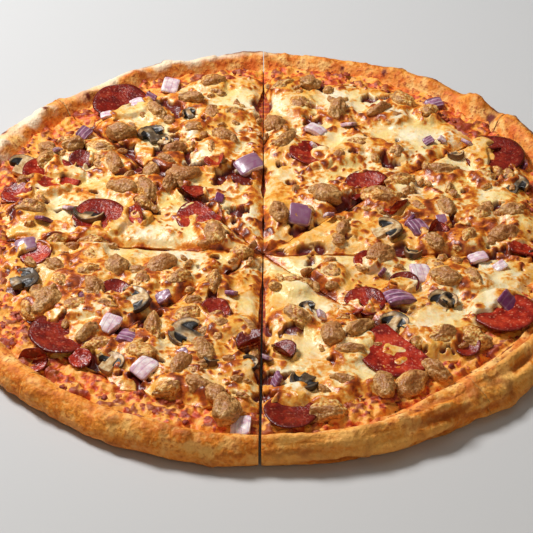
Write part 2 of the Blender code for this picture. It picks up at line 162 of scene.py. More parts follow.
def new_material(name, roughness):
    """An empty material: its node tree, its shader, and the position on the piece in metres."""
    made = bpy.data.materials.new(name)
    made.use_nodes = True
    tree = made.node_tree
    shader = tree.nodes["Principled BSDF"]
    shader.inputs["Roughness"].default_value = roughness
    return made, tree, shader, add_node(tree, "ShaderNodeTexCoord").outputs["Object"]


def speckle(tree, place, size, detail=4.0):
    """Noise whose patches are about the given size."""
    return add_node(
        tree, "ShaderNodeTexNoise", {"Scale": 1 / size, "Detail": detail}, {"Vector": place}
    ).outputs["Fac"]


def cells(tree, place, size):
    """How far each place is from the middle of its cell, where cells are about the given size."""
    return add_node(
        tree, "ShaderNodeTexVoronoi", {"Scale": 1 / size}, {"Vector": place}
    ).outputs["Distance"]


def painted(tree, name):
    """A value that a piece carries at each of its points."""
    return add_node(tree, "ShaderNodeAttribute", {"attribute_name": name}).outputs["Fac"]


def ramp(tree, factor, *stops):
    """A run of colours, each at its own level of the factor."""
    return add_node(tree, "ShaderNodeValToRGB", None, {"Fac": factor}, stops).outputs["Color"]


def remap(tree, value, low, high, new_low=0.0, new_high=1.0):
    return add_node(
        tree, "ShaderNodeMapRange", {1: low, 2: high, 3: new_low, 4: new_high}, {0: value}
    ).outputs[0]


def total(tree, first, second):
    return add_node(tree, "ShaderNodeMath", {"operation": "ADD"}, {0: first, 1: second}).outputs[0]


def blend(tree, factor, first, second):
    """Mixes two colours; a colour may be a socket or a hexadecimal code."""
    settings = {"data_type": "RGBA"}
    links = {}
    for key, value in ((0, factor), (6, first), (7, second)):
        if isinstance(value, str):
            settings[key] = linear(value)
        elif isinstance(value, float):
            settings[key] = value
        else:
            links[key] = value
    return add_node(tree, "ShaderNodeMix", settings, links).outputs[2]


def tint(tree, colour, level, span, shares, over):
    """Lays a colour over another. The level, a painted name or a socket, sets how strongly: as it
    goes through the span, the share of the new colour goes from the first share to the second."""
    if isinstance(level, str):
        level = painted(tree, level)
    return blend(tree, remap(tree, level, *span, *shares), colour, over)


def finish_shader(tree, shader, colour, bumpy, strength, distance):
    bump = add_node(
        tree, "ShaderNodeBump", {"Strength": strength, "Distance": distance}, {"Height": bumpy}
    )
    tree.links.new(colour, shader.inputs["Base Color"])
    tree.links.new(bump.outputs["Normal"], shader.inputs["Normal"])


def let_light_in(shader, weight, scale):
    """Lets some light pass under the surface, red the farthest, as food does."""
    shader.inputs["Subsurface Weight"].default_value = weight
    shader.inputs["Subsurface Radius"].default_value = (1.0, 0.6, 0.3)
    shader.inputs["Subsurface Scale"].default_value = scale


print("helpers ready; crust gold is", [round(value, 2) for value in linear("F0922A")])

# %% [markdown]
# ## Helpers for shapes
#
# Food is uneven at every scale. Two smooth random fields give that here: Blender's own noise, read
# point by point for the large shapes that the solids share, and a fast lattice of random values
# for the finer relief. Each has layers, numbered fields that have nothing to do with each other, so
# that browning needn't follow bumps. Both give the same shape each time.

# %% Helpers for shapes
lattice_order = np.random.default_rng(5).permutation(256)
lattice_value = np.random.default_rng(6).uniform(-1.0, 1.0, 256)


def rough(points, size, layer=0):
    """A smooth random field from -1 to 1 that changes over about the given size."""
    spread = np.asarray(points, float) / size + 31.7 * layer
    cell = np.floor(spread).astype(int)
    share = spread - cell
    share = share * share * (3 - 2 * share)
    field = np.zeros(len(spread))
    for dx in (0, 1):
        for dy in (0, 1):
            for dz in (0, 1):
                mixed = lattice_order[(cell[:, 0] + dx) % 256]
                mixed = lattice_order[(mixed + cell[:, 1] + dy) % 256]
                mixed = lattice_order[(mixed + cell[:, 2] + dz) % 256]
                weight = np.abs(1 - dx - share[:, 0]) * np.abs(1 - dy - share[:, 1])
                field += weight * np.abs(1 - dz - share[:, 2]) * lattice_value[mixed]
    return field


def wave(x, y, size, layer):
    """The field that shaped the solids, read at many points."""
    return np.array([noise.noise(Vector((a / size, b / size, 7.3 * layer))) for a, b in zip(x, y)])


def ease(low, high, values):
    """Rises smoothly from 0 at low to 1 at high."""
    share = np.clip((values - low) / (high - low), 0.0, 1.0)
    return share * share * (3 - 2 * share)


def near(x, y, spots):
    """How close each point is to the spots, given as x, y and reach in millimetres."""
    closest = np.zeros(len(x))
    for spot_x, spot_y, reach in spots:
        away = ((x - spot_x * MM) ** 2 + (y - spot_y * MM) ** 2) / (reach * MM) ** 2
        closest = np.maximum(closest, np.exp(-away))
    return closest


def one_place(x, y):
    """One place as the two rows of numbers that the rules for many points take."""
    return np.array([x]), np.array([y])


def flat_points(x, y):
    """Points of the plan, as the fields take them."""
    return np.stack([x, y, np.zeros(len(x))], axis=1)


def read_points(piece):
    points = np.zeros(len(piece.data.vertices) * 3)
    piece.data.vertices.foreach_get("co", points)
    return points.reshape(-1, 3)


def write_points(piece, points):
    flat_list = np.asarray(points, float).ravel()
    piece.data.vertices.foreach_set("co", flat_list)
    piece.data.update()


def paint(piece, name, values):
    """Keeps one value for each point, which the material reads by name."""
    layer = piece.data.attributes.get(name) or piece.data.attributes.new(name, "FLOAT", "POINT")
    layer.data.foreach_set("value", np.asarray(values, float))


def select_only(*pieces):
    bpy.ops.object.select_all(action="DESELECT")
    for piece in pieces:
        piece.select_set(True)
    bpy.context.view_layer.objects.active = pieces[0]


def join(name, pieces):
    select_only(*pieces)
    bpy.ops.object.join()
    joined = bpy.context.object
    joined.name = name
    joined.data.name = name
    return joined


def finish_piece(piece, materials, nodes=()):
    piece.data.materials.clear()
    for material in materials:
        piece.data.materials.append(material)
    piece.data.shade_smooth()
    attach(piece, "root")
    if nodes:
        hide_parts(*nodes)


print("a lattice of", len(lattice_value), "random values")

# %% [markdown]
# ## The eight slices
#
# The cuts cross a little nearer to the viewer than the pizza's middle. Each slice was pushed
# outwards by the cutter and swung a little, so that the gaps between them differ.

# %% The eight slices
RIM_FOOT_RADII = (0.159, 0.162, 0.162, 0.160, 0.156, 0.161, 0.162, 0.152)
RIM_FOOT = 0.160
PIZZA_RADIUS = 0.178
CUT_CENTRE = Vector((-0.002, -0.020, 0.0))
CUT_ANGLES = (-2.0, 41.5, 90.0, 130.0, 175.6, 222.5, 269.5, 312.5)
CUT_WIDTH = 0.0002
SLICE_PUSH = (0.0005, 0.0001, 0.0001, 0.0005, 0.0002, 0.0006, 0.0005, 0.0004)
SLICE_SWING = (-0.10, -0.02, 0.02, 0.08, 0.0, -0.14, 0.14, 0.04)
SLICES = range(len(CUT_ANGLES))


def foot_radius(x, y):
    """How far out the rim starts, on the bearing of each point."""
    bearing = (np.arctan2(y, x) % math.tau) / math.tau * len(RIM_FOOT_RADII)
    before = bearing.astype(int) % len(RIM_FOOT_RADII)
    share = (1 - np.cos(np.pi * (bearing % 1.0))) / 2
    radii = np.array(RIM_FOOT_RADII)
    return radii[before] * (1 - share) + radii[(before + 1) % len(radii)] * share


def slice_angles(number):
    """The bearings of a slice's two cuts and of its middle."""
    first = math.radians(CUT_ANGLES[number])
    turn = math.radians((CUT_ANGLES[(number + 1) % len(CUT_ANGLES)] - CUT_ANGLES[number]) % 360)
    return first, first + turn, first + turn / 2


def slice_tip(number):
    first, second, middle = slice_angles(number)
    inward = CUT_WIDTH / 2 / math.sin((second - first) / 2)
    return CUT_CENTRE + inward * Vector((math.cos(middle), math.sin(middle), 0.0))


def slice_move(number):
    """Takes a point of the uncut pizza to its place in the pushed and swung slice."""
    middle = slice_angles(number)[2]
    turn = Matrix.Rotation(math.radians(SLICE_SWING[number]), 4, "Z")
    outward = SLICE_PUSH[number] * Vector((math.cos(middle), math.sin(middle), 0.0))
    return Matrix.Translation(CUT_CENTRE + outward) @ turn @ Matrix.Translation(-CUT_CENTRE)


def slice_of(x, y):
    """The number of the slice that a place on the uncut pizza lies in."""
    bearing = math.degrees(math.atan2(y - CUT_CENTRE.y, x - CUT_CENTRE.x))
    bearing = (bearing - CUT_ANGLES[0]) % 360
    return sum(bearing >= angle - CUT_ANGLES[0] for angle in CUT_ANGLES) - 1


def cut_distances(number, x, y):
    """How far each point lies inside the slice from its first and its second cut."""
    first, second, _ = slice_angles(number)
    tip = slice_tip(number)
    from_first = -(x - tip.x) * math.sin(first) + (y - tip.y) * math.cos(first)
    from_second = (x - tip.x) * math.sin(second) - (y - tip.y) * math.cos(second)
    return from_first, from_second


def inside_cuts(number, x, y):
    """How far each point lies inside the nearer of its slice's two cuts."""
    return np.minimum(*cut_distances(number, x, y))


def cut_sides(number):
    """The directions that point out of the slice through its two cuts."""
    first, second, _ = slice_angles(number)
    return (
        Vector((math.sin(first), -math.cos(first), 0.0)),
        Vector((-math.sin(second), math.cos(second), 0.0)),
    )


def trim_to_slice(piece, number):
    """Bisects a piece along the two cuts of its slice, and closes it there."""
    tip = slice_tip(number)
    for outward in cut_sides(number):
        select_only(piece)
        bpy.ops.object.mode_set(mode="EDIT")
        bpy.ops.mesh.select_all(action="SELECT")
        bpy.ops.mesh.bisect(
            plane_co=tip, plane_no=outward, use_fill=True, clear_outer=True, threshold=1e-7
        )
        bpy.ops.object.mode_set(mode="OBJECT")


print("slice angles:", [round(math.degrees(b - a), 1) for a, b, _ in map(slice_angles, SLICES)])

# %% [markdown]
# ## Baked dough
#
# The rim is one swollen roll of dough. Its section is drawn once as a closed ring of points and
# spun round the pizza. Relief then does what the oven did: the roll swells and sinks along its
# length, wrinkles where it dried, and blisters. Bisecting gives the flat faces of the cuts.

# %% Section of the dough
RIM_TOP = 0.0165
BASE_THICKNESS = 0.0070
UNDERSIDE_RADIUS = 0.169
RIM_UNEVEN = 0.0026
RIM_HEIGHT_UNEVEN = 0.16
SECTION_POINTS = 72
SPIN_STEPS = 900
DOUGH_SECTION = (
    (0.0, BASE_THICKNESS),
    (RIM_FOOT - 0.030, BASE_THICKNESS),
    (RIM_FOOT, BASE_THICKNESS),
    (RIM_FOOT + 0.003, 0.65 * RIM_TOP),
    (RIM_FOOT + 0.006, 0.92 * RIM_TOP),
    (RIM_FOOT + 0.010, RIM_TOP),
    (RIM_FOOT + 0.014, 0.88 * RIM_TOP),
    (PIZZA_RADIUS - 0.001, 0.60 * RIM_TOP),
    (PIZZA_RADIUS, 0.32 * RIM_TOP),
    (PIZZA_RADIUS - 0.002, 0.12 * RIM_TOP),
    (UNDERSIDE_RADIUS, 0.0),
    (RIM_FOOT - 0.030, 0.0),
    (0.0, 0.0),
)


def section_points(count):
    """The section's outline with most of its points along the rim, rounded at the corners."""
    corners = np.array(DOUGH_SECTION)
    steps = np.linalg.norm(np.diff(corners, axis=0), axis=1)
    steps[[0, -1]] *= 0.03
    along = np.concatenate([[0.0], np.cumsum(steps)])
    wanted = np.linspace(0.0, along[-1], count)
    outline = np.stack([np.interp(wanted, along, corners[:, i]) for i in (0, 1)], axis=1)
    for _ in range(3):
        inner = outline[1:-1]
        softened = (outline[:-2] + 2 * inner + outline[2:]) / 4
        on_rim = (inner[:, 0] > RIM_FOOT - 0.004)[:, None]
        outline[1:-1] = np.where(on_rim, softened, inner)
    return outline


section = section_points(SECTION_POINTS)
print("section points:", len(section), "highest in mm:", round(section[:, 1].max() / MM, 2))

# %% Spin the dough
bpy.ops.mesh.primitive_circle_add(vertices=SECTION_POINTS, radius=0.01)
dough = bpy.context.object
dough.name = "dough"
write_points(dough, np.stack([section[:, 0], np.zeros(len(section)), section[:, 1]], axis=1))
bpy.ops.object.mode_set(mode="EDIT")
bpy.ops.mesh.select_all(action="SELECT")
bpy.ops.mesh.spin(steps=SPIN_STEPS, angle=math.tau, center=(0, 0, 0), axis=(0, 0, 1))
bpy.ops.mesh.select_all(action="SELECT")
bpy.ops.mesh.remove_doubles(threshold=1e-6)
bpy.ops.mesh.normals_make_consistent(inside=False)
bpy.ops.object.mode_set(mode="OBJECT")
print("dough points:", len(dough.data.vertices))

# %% [markdown]
# The next cell shapes the rim. Each bump is a place, how far it reaches and how far it lifts the
# dough: the flap beside the far right cut, the thick roll that follows it, and the low swellings
# at the front and the left. The right-hand front of the rim dried in ridges that run along it.

# %% Shape the rim
RIM_BUMPS = (
    # x, y, reach, lift, all in millimetres
    (119, 116, 9, 4.5), (130, 106, 6, -5.0), (140, 92, 14, 2.8), (-36, -170, 30, 1.4),
    (-120, -131, 12, 1.6), (120, -131, 14, -1.2), (60, -160, 26, 1.0), (-168, 40, 30, 1.0),
)
RIDGED_BEARING = math.radians(-48)
RIDGE_DEPTH = 0.0028
LUMP_DEPTH = 0.0009
GRAIN_DEPTH = 0.0003
BLISTER_RISE = 0.0011


def rim_form(x, y, z):
    """Where every point of the plain turned dough goes, and how far up the rim it is."""
    radius = np.hypot(x, y)
    safe = np.maximum(radius, 1e-9)
    foot = foot_radius(x, y)
    share = np.clip((radius - RIM_FOOT) / (PIZZA_RADIUS - RIM_FOOT), 0.0, 1.0)
    flat = (z < 1e-6) | (share <= 0.0)
    out = share * RIM_UNEVEN * (wave(x, y, 0.055, 1) + 0.5 * wave(x, y, 0.022, 2))
    stretch = np.where(flat, foot / RIM_FOOT, (foot + share * (PIZZA_RADIUS - foot) + out) / safe)
    lift = 1.0 + RIM_HEIGHT_UNEVEN * (wave(x, y, 0.040, 3) + 0.6 * wave(x, y, 0.015, 4))
    high = np.where(flat, z, z * lift)
    for bump_x, bump_y, reach, rise in RIM_BUMPS:
        close = near(x * stretch, y * stretch, ((bump_x, bump_y, reach),))
        high += np.where(flat, 0.0, close * rise * MM * ease(0.004, 0.012, z))
    return np.stack([x * stretch, y * stretch, high], axis=1), share * ~flat


plain = read_points(dough)
shaped, on_rim = rim_form(plain[:, 0], plain[:, 1], plain[:, 2])
bearing = np.arctan2(shaped[:, 1], shaped[:, 0])
radius = np.hypot(shaped[:, 0], shaped[:, 1])
along = np.stack([bearing * 0.075, radius * 3.4, shaped[:, 2] * 3.4], axis=1)
ridged = ease(0.55, 0.95, np.cos(bearing - RIDGED_BEARING))
wrinkles = rough(along, 0.012, 1) + 0.6 * rough(along, 0.006, 2)
lumpy = rough(shaped, 0.011, 3) + 0.5 * rough(shaped, 0.005, 4)
grain = rough(shaped, 0.0028, 5)
blister = ease(0.40, 0.8, rough(shaped, 0.006, 6))
raised = ease(0.0, 0.12, on_rim) * ease(0.0, 0.003, shaped[:, 2])
push = RIDGE_DEPTH * (0.12 + 0.88 * ridged) * wrinkles + LUMP_DEPTH * lumpy
push = raised * (push + GRAIN_DEPTH * grain + BLISTER_RISE * blister)
outward = np.stack([np.cos(bearing), np.sin(bearing)], axis=1)
upward = np.clip((shaped[:, 2] - 0.006) / 0.008, 0.0, 1.0)
shaped[:, :2] += outward * (push * (1 - 0.6 * upward) * ease(0.35, 0.9, on_rim))[:, None]
shaped[:, 2] += push * upward
write_points(dough, shaped)
print("rim top in mm:", round(shaped[:, 2].max() / MM, 1))

# %% [markdown]
# What the dough's material needs to know is painted on its points: how high and how ridged they
# are, how browned, and where oil and sauce stained the inner side and ran over the rim. The ridges
# become painted shade in their troughs and a painted highlight on their crests. The back left is
# painted paler.

# %% Paint the rim
RIM_RUNS = (
    # x, y and reach of the places where sauce ran over the rim
    (60, -157, 8), (47, -161, 5), (-128, -112, 9), (-96, -134, 6), (10, -165, 5),
)
RIM_SPOTS = (
    # x, y and reach of the dark baked-on bits, in millimetres
    (130, 106, 3.0), (116, -113, 2.0), (70, 152, 1.6), (45, 160, 1.4), (-128, 110, 1.6),
    (-150, 88, 1.8), (-105, 128, 1.6), (-60, -156, 1.5), (-42, -160, 1.7), (-70, -152, 1.3),
    (48, -158, 1.5), (72, -152, 1.3), (134, -92, 1.6), (-148, -72, 1.6), (-139, -84, 1.4),
    (93, 132, 1.5), (-158, 58, 1.6), (152, -58, 1.4),
)
PALE_SIDE_BEARING = math.radians(132)

stain_edge = 0.22 + 0.20 * ease(-0.2, 0.9, np.sin(bearing)) + 0.10 * ridged
stain_edge += 0.22 * rough(shaped, 0.009, 7) + 0.14 * rough(shaped, 0.004, 8)
stain_edge += 0.45 * near(shaped[:, 0], shaped[:, 1], RIM_RUNS)
# The back left of the rim is painted paler, and its stain reaches less far there.
pale_side = ease(0.55, 0.97, np.cos(bearing - PALE_SIDE_BEARING))
stain_edge -= 0.16 * pale_side
char_line = ease(-0.75, -0.35, np.cos(bearing)) * ease(0.1, 0.4, np.sin(bearing))
char_line *= ease(0.05, 0.35, lumpy) * ease(0.008, 0.011, shaped[:, 2])
char_line *= np.exp(-((on_rim - 0.72) / 0.10) ** 2)
spotted = ease(0.2, 0.6, near(shaped[:, 0], shaped[:, 1], RIM_SPOTS))
paint(dough, "height", np.clip(shaped[:, 2] / 0.018, 0, 1))
paint(dough, "stained", ease(0.10, -0.10, on_rim - stain_edge) * ease(0.0, 0.01, on_rim + 0.01))
paint(dough, "browned", raised * np.clip(0.6 * blister + 0.22 * lumpy, 0, 1))
pale = pale_side * ease(-0.7, 0.1, rough(shaped, 0.018, 9))
# The ridge relief, which the material turns into painted shade and a painted highlight.
paint(dough, "ridge_shade_and_highlight", ridged * wrinkles * raised)
paint(dough, "pale", pale * ease(0.02, 0.25, on_rim - stain_edge))
paint(dough, "spotted", np.maximum(char_line, spotted))
print("share of the dough that is stained:", round(float(np.mean(on_rim < stain_edge)), 2))

# %% [markdown]
# ## Finish of the dough
#
# Baked wheat dough is golden, deeper low down, brown on the blisters and at the foot, and paler at
# the back left. Its ridges carry painted shade in their troughs and a painted highlight on their
# crests. Oil and sauce stain its inner side orange. It is dry, so it has only a faint gloss, and a
# fine grain breaks its surface. The cuts show the paler crumb inside.

# %% Finish of the dough


def crust_material():
    """Golden baked dough, tinted by what was painted on it and by a fine random speckle."""
    made, tree, shader, place = new_material("baked_wheat_crust", 0.60)
    shader.inputs["Specular IOR Level"].default_value = 0.25
    broad = speckle(tree, place, 0.024)
    patches = speckle(tree, place, 0.009)
    fine = speckle(tree, place, 0.0022)
    colour = ramp(tree, broad, (0.34, "FAB650"), (0.50, "F0922A"), (0.66, "D66C14"))
    mottle = ramp(tree, patches, (0.36, "C65A0E"), (0.50, "F08E26"), (0.62, "FCC878"))
    colour = blend(tree, 0.50, colour, mottle)
    colour = tint(tree, colour, "height", (0.10, 0.62), (0.62, 0.0), "EA8424")
    colour = tint(tree, colour, "height", (0.0, 0.14), (0.8, 0.0), "84501F")
    colour = tint(tree, colour, fine, (0.52, 0.66), (0.0, 0.60), "AE520F")
    colour = tint(tree, colour, fine, (0.47, 0.36), (0.0, 0.50), "FAC068")
    # Painted shade in the troughs of the ridges, and a painted highlight on their crests.
    colour = tint(tree, colour, "ridge_shade_and_highlight", (-0.05, -0.45), (0.0, 0.65), "A8561E")
    colour = tint(tree, colour, "ridge_shade_and_highlight", (0.05, 0.45), (0.0, 0.55), "FBBE62")
    colour = tint(tree, colour, "height", (0.10, 0.62), (0.42, 0.0), "D06A12")
    colour = tint(tree, colour, "browned", (0.0, 1.0), (0.0, 1.0), "9C521C")
    colour = tint(tree, colour, "pale", (0.0, 1.0), (0.0, 0.90), "FFEBCB")
    stain = ramp(tree, patches, (0.36, "E4702A"), (0.50, "F6A24C"), (0.62, "FFCF80"))
    stain = tint(tree, stain, fine, (0.54, 0.64), (0.0, 0.75), "A83C20")
    colour = tint(tree, colour, "stained", (0.0, 1.0), (0.0, 0.88), stain)
    colour = tint(tree, colour, "spotted", (0.0, 1.0), (0.0, 1.0), "6E2415")
    finish_shader(tree, shader, colour, fine, 0.95, 0.0011)
    let_light_in(shader, 0.05, 0.0012)
    return made


def crumb_material():
    made, tree, shader, place = new_material("wheat_crumb", 0.85)
    pores = cells(tree, place, 0.0026)
    colour = ramp(tree, pores, (0.0, "8A5A2C"), (0.6, "D2A466"))
    finish_shader(tree, shader, colour, pores, 0.8, 0.0008)
    return made


crust_finish = crust_material()
crumb_finish = crumb_material()
print("finishes:", crust_finish.name, crumb_finish.name)

# %% Cut the dough into slices


def copy_of(piece, name):
    copied = piece.copy()
    copied.data = piece.data.copy()
    copied.name = name
    bpy.context.scene.collection.objects.link(copied)
    return copied


def crumb_on_cuts(piece, number):
    """Gives the faces that lie on the two cuts the second material."""
    tip, sides = slice_tip(number), cut_sides(number)
    for face in piece.data.polygons:
        for outward in sides:
            faces_out = face.normal.dot(outward) > 0.999
            if faces_out and abs((face.center - tip).dot(outward)) < 1e-5:
                face.material_index = 1


for number in SLICES:
    crust = copy_of(dough, f"crust_{number + 1}")
    trim_to_slice(crust, number)
    finish_piece(crust, (crust_finish, crumb_finish), (f"dough_{number + 1}",))
    crumb_on_cuts(crust, number)
    crust.data.transform(slice_move(number))
    print(crust.name, "faces:", len(crust.data.polygons))
bpy.data.objects.remove(dough)

# %% [markdown]
# ## Toppings: where they lie
#
# Every place is given on the plan of the uncut pizza, in millimetres. The sausage lumps are listed
# slice by slice. The larger pepperoni slices, mushroom slices and onion squares lie on the packed
# solids of their kind, and small or half-hidden ones fill the gaps between them.

# %% Where the toppings lie
SAUSAGES = (
    # Slice 1, from the right-hand cut to the next one round: x, y and length
    (98, 50, 17), (81, 15, 16), (97, 15, 18), (115, 8, 15), (134, 13, 15), (122, 45, 13),
    (134, 46, 12), (107, -12, 17), (127, -8, 16), (62, 24, 17), (89, -17, 14), (40, -4, 13),
    # Slice 2
    (9, 137, 14), (25, 139, 13), (18, 118, 19), (41, 111, 19), (66, 110, 15), (74, 106, 14),
    (80, 121, 15), (4, 97, 15), (9, 77, 19), (52, 77, 17), (63, 73, 13), (73, 70, 13), (42, 66, 15),
    (73, 40, 16), (31, 26, 20), (7, 10, 15), (94, 109, 12),
    # Slice 3
    (-33, 142, 17), (-44, 122, 15), (-64, 110, 15), (-31, 107, 14), (-21, 108, 14), (-42, 93, 13),
    (-24, 82, 17), (-31, 71, 17), (-52, 71, 15), (-84, 87, 18), (-57, 60, 14),
    # Slice 4
    (-85, 57, 16), (-64, 49, 18), (-46, 46, 17), (-79, 34, 16), (-66, 33, 18), (-53, 38, 16),
    (-108, 74, 15), (-94, 73, 15), (-124, 74, 13), (-124, 60, 14), (-133, 41, 16), (-128, 14, 16),
    (-67, 20, 12), (-27, -7, 18),
    # Slice 5
    (-113, -14, 14), (-92, -14, 16), (-92, -29, 15), (-78, -37, 16), (-55, -36, 17), (-93, -43, 16),
    (-111, -36, 16), (-89, -56, 18), (-113, -64, 19), (-98, -70, 17), (-84, -70, 16), (-122, -72, 13),
    (-65, -50, 14), (-46, -48, 15), (-13, -25, 12), (-107, -50, 13),
    # Slice 6
    (-27, -50, 14), (-39, -77, 16), (-22, -84, 15), (-11, -86, 15), (-57, -88, 19), (-90, -91, 16),
    (-83, -101, 14), (-62, -106, 19), (-31, -105, 16), (-42, -116, 18), (-48, -134, 15), (-34, -131, 16),
    (-24, -139, 14), (-19, -150, 18), (-11, -119, 12),
    # Slice 7
    (15, -50, 16), (15, -79, 17), (33, -93, 16), (46, -90, 16), (41, -106, 16), (83, -119, 15),
    (57, -133, 16), (77, -139, 18), (29, -149, 19), (37, -128, 14), (12, -138, 14),
    # Slice 8
    (33, -43, 15), (59, -27, 17), (93, -47, 20), (107, -49, 15), (75, -95, 14), (87, -96, 17),
    (104, -94, 17),
)
PEPPERONI = (
    # x, y, radius, lean and the bearing of the high side
    (-85, 120, 17, 7, 120), (-119, 47, 17, 8, 180), (-90, 6, 15, 8, 100), (-36, 8, 13, 7, 60),
    (-103, -91, 17, 4, 200), (64, -105, 19, 6, 100), (121, -74, 17, 5, 300), (26, 67, 14, 12, 200),
    (55, 36, 13, 10, 60), (50, -66, 11, 6, 60), (11, -150, 13, 5, 250), (128, 66, 17, 5, 40),
)
MUSHROOMS = (
    # x, y, width and the bearing of the stem
    (-136, 57, 17, 250), (-96, 10, 18, 70), (-126, -48, 17, 200), (-69, -66, 20, 200),
    (-40, -92, 20, 330), (-77, -113, 15, 240), (-66, 87, 16, 300), (64, -5, 18, 200),
    (137, 38, 16, 240), (64, -84, 16, 240), (18, -128, 15, 60), (90, -66, 16, 250),
)
ONIONS = (
    # x, y, width and bearing
    (-10, 56, 15, 30), (-57, 140, 12, 80), (98, 122, 10, 15), (28, 91, 11, 150), (18, 9, 15, 85),
    (81, -3, 12, 120), (80, -42, 13, 100), (68, -62, 16, 200), (-128, -19, 11, 10), (-79, -85, 12, 70),
    (-67, -96, 14, 160), (-60, -118, 13, 50),
)
SMALL_MUSHROOMS = (
    # x, y, width and the bearing of the stem
    (-45, 107, 9, 30), (106, 67, 10, 200), (-27, -112, 9, 120), (-8, -115, 10, 300), (92, -66, 9, 60),
    (77, -25, 10, 160), (-58, 78, 9, 250), (20, -72, 9, 20),
)
SMALL_PEPPERONI = (
    # x, y, radius, lean and bearing
    (-29, 58, 7, 20, 200), (-78, -59, 9, 15, 90), (-122, -25, 9, 12, 30), (-7, -98, 9, 14, 60),
    (-26, -73, 8, 25, 90), (43, -73, 7, 20, 300), (8, -105, 7, 15, 20), (52, -32, 7, 16, 120),
    (71, -50, 8, 15, 100), (90, -7, 8, 20, 90), (136, -21, 8, 10, 180), (126, 78, 9, 12, 240),
    (-116, -110, 8, 12, 40), (-92, -110, 6, 16, 60), (-41, 30, 8, 12, 250), (-70, 8, 8, 14, 60),
    (-104, 62, 7, 14, 100), (-137, 30, 9, 12, 20), (70, 14, 8, 12, 250), (100, -100, 7, 16, 60),
)
SMALL_ONIONS = (
    # x, y, width and bearing
    (-76, 120, 8, 20), (-104, 88, 9, 60), (-107, 15, 8, 120), (-120, 5, 9, 40), (-68, 125, 7, 140),
    (-93, 106, 7, 10), (-26, 24, 6, 80), (47, 97, 8, 150), (115, 77, 10, 20), (76, 3, 8, 60),
    (94, 4, 7, 100), (92, 80, 6, 30), (100, 82, 6, 70), (27, 74, 6, 10), (144, 60, 7, 90),
    (-102, -46, 9, 75), (-53, -63, 8, 20), (-18, -59, 6, 150), (-1, -110, 9, 60), (4, -127, 9, 110),
    (111, -29, 10, 15), (122, -37, 7, 30), (124, -66, 13, 60), (28, -78, 7, 10), (60, -41, 6, 90),
    (-12, -158, 12, 85), (-42, -108, 7, 20), (-95, -62, 6, 50), (33, 8, 6, 120), (-118, 70, 6, 60),
)
print("sausage lumps:", len(SAUSAGES), "pepperoni:", len(PEPPERONI) + len(SMALL_PEPPERONI))

# %% [markdown]
# ## Melted cheese: its height
#
# One rule gives the height of the cheese at any place. It sags between the lumps, climbs a little
# up each of them, laps over parts of the pepperoni, and carries thousands of small blisters, which
# are also where it browned. Some spots of pepperoni stayed bare and some were covered. White
# patches melted without browning, and in dark gaps the sauce bubbled through; their dark red is
# also painted shade, and there are more of them on the left. All of these come from short lists of
# spots, blurred and bent by the random fields, so that none has a neat edge.

# %% Height of the cheese
CHEESE_BOTTOM = 0.0087
CHEESE_TOP = 0.0133
CHEESE_EDGE = 0.0115
CHEESE_UNEVEN = 0.0011
LUMP_CLIMB = 0.0020
SMEAR_CLIMB = 0.0016
LAP_RISE = 0.0030
GAP_DEPTH = 0.0032
FREE_RISE = 0.0020
MOST_RISE = 0.0024
BLISTER_COUNT = 5200
BLISTER_SHARE = 0.60
BLISTER_REACH = 0.004
BARE_SPOTS = ((60, -113, 17), (-94, 127, 8), (123, -82, 16), (-36, 10, 9), (-103, -95, 13))
COVERED_SPOTS = ((-77, 113, 10), (-82, 121, 6), (-112, -104, 8), (60, 30, 6), (-88, -106, 6))
SMEARED_SHARE = 0.55
WHITE_PATCHES = (
    (-20, 125, 13), (8, 117, 10), (-82, -20, 13), (-60, -16, 14), (-42, -20, 12), (20, -60, 13),
    (8, -36, 11), (85, -80, 12), (42, -26, 13), (-75, 105, 11), (90, 88, 13), (36, 122, 9),
    (50, -116, 10), (-8, -66, 8), (66, 90, 8), (20, -100, 9), (104, 62, 8),
)
DARK_PATCHES = (
    (-2, 122, 6), (-3, 108, 5), (42, 22, 8), (70, -19, 5), (62, -19, 4), (20, -17, 4), (27, -17, 4),
    (-41, 27, 6), (92, -25, 4),
)
draw = np.random.default_rng(11)
blister_spots = np.stack([
    draw.uniform(-0.158, 0.158, BLISTER_COUNT),
    draw.uniform(-0.158, 0.158, BLISTER_COUNT),
    0.0008 + 0.0020 * draw.uniform(0.0, 1.0, BLISTER_COUNT) ** 1.5,
    draw.uniform(0.2, 1.0, BLISTER_COUNT),
], axis=1)
lump_smeared = draw.uniform(0.0, 1.0, len(SAUSAGES)) < SMEARED_SHARE
lump_depth = draw.uniform(-0.0016, 0.0010, len(SAUSAGES))


def cheese_edge_radius(x, y):
    """How far out the cheese reaches on the bearing of each point."""
    bearing = np.arctan2(y, x)
    ring = flat_points(np.cos(bearing) * 0.15, np.sin(bearing) * 0.15)
    wavy = 0.0050 * rough(ring, 0.016, 11) + 0.0030 * rough(ring, 0.006, 12)
    return foot_radius(x, y) - CHEESE_EDGE - 0.003 * np.cos(bearing - math.radians(225)) + wavy


def plain_cheese(x, y):
    """The height of the melted sheet before anything is pressed into it, as in the solids."""
    return CHEESE_TOP + CHEESE_UNEVEN * (wave(x, y, 0.045, 6) + 0.5 * wave(x, y, 0.024, 7))


def seat_height(x, y):
    """The height on which toppings sit: the plain cheese, and lower past its edge."""
    beyond = np.hypot(x, y) - (foot_radius(x, y) - CHEESE_EDGE)
    return plain_cheese(x, y) - 0.0030 * ease(-0.002, 0.006, beyond)


def blisters_in_reach(x, y):
    """The blisters that lie on or beside the part of the plan that the points cover."""
    spots_x, spots_y = blister_spots[:, 0], blister_spots[:, 1]
    in_reach = (spots_x > x.min() - BLISTER_REACH) & (spots_x < x.max() + BLISTER_REACH)
    in_reach &= (spots_y > y.min() - BLISTER_REACH) & (spots_y < y.max() + BLISTER_REACH)
    return blister_spots[in_reach]


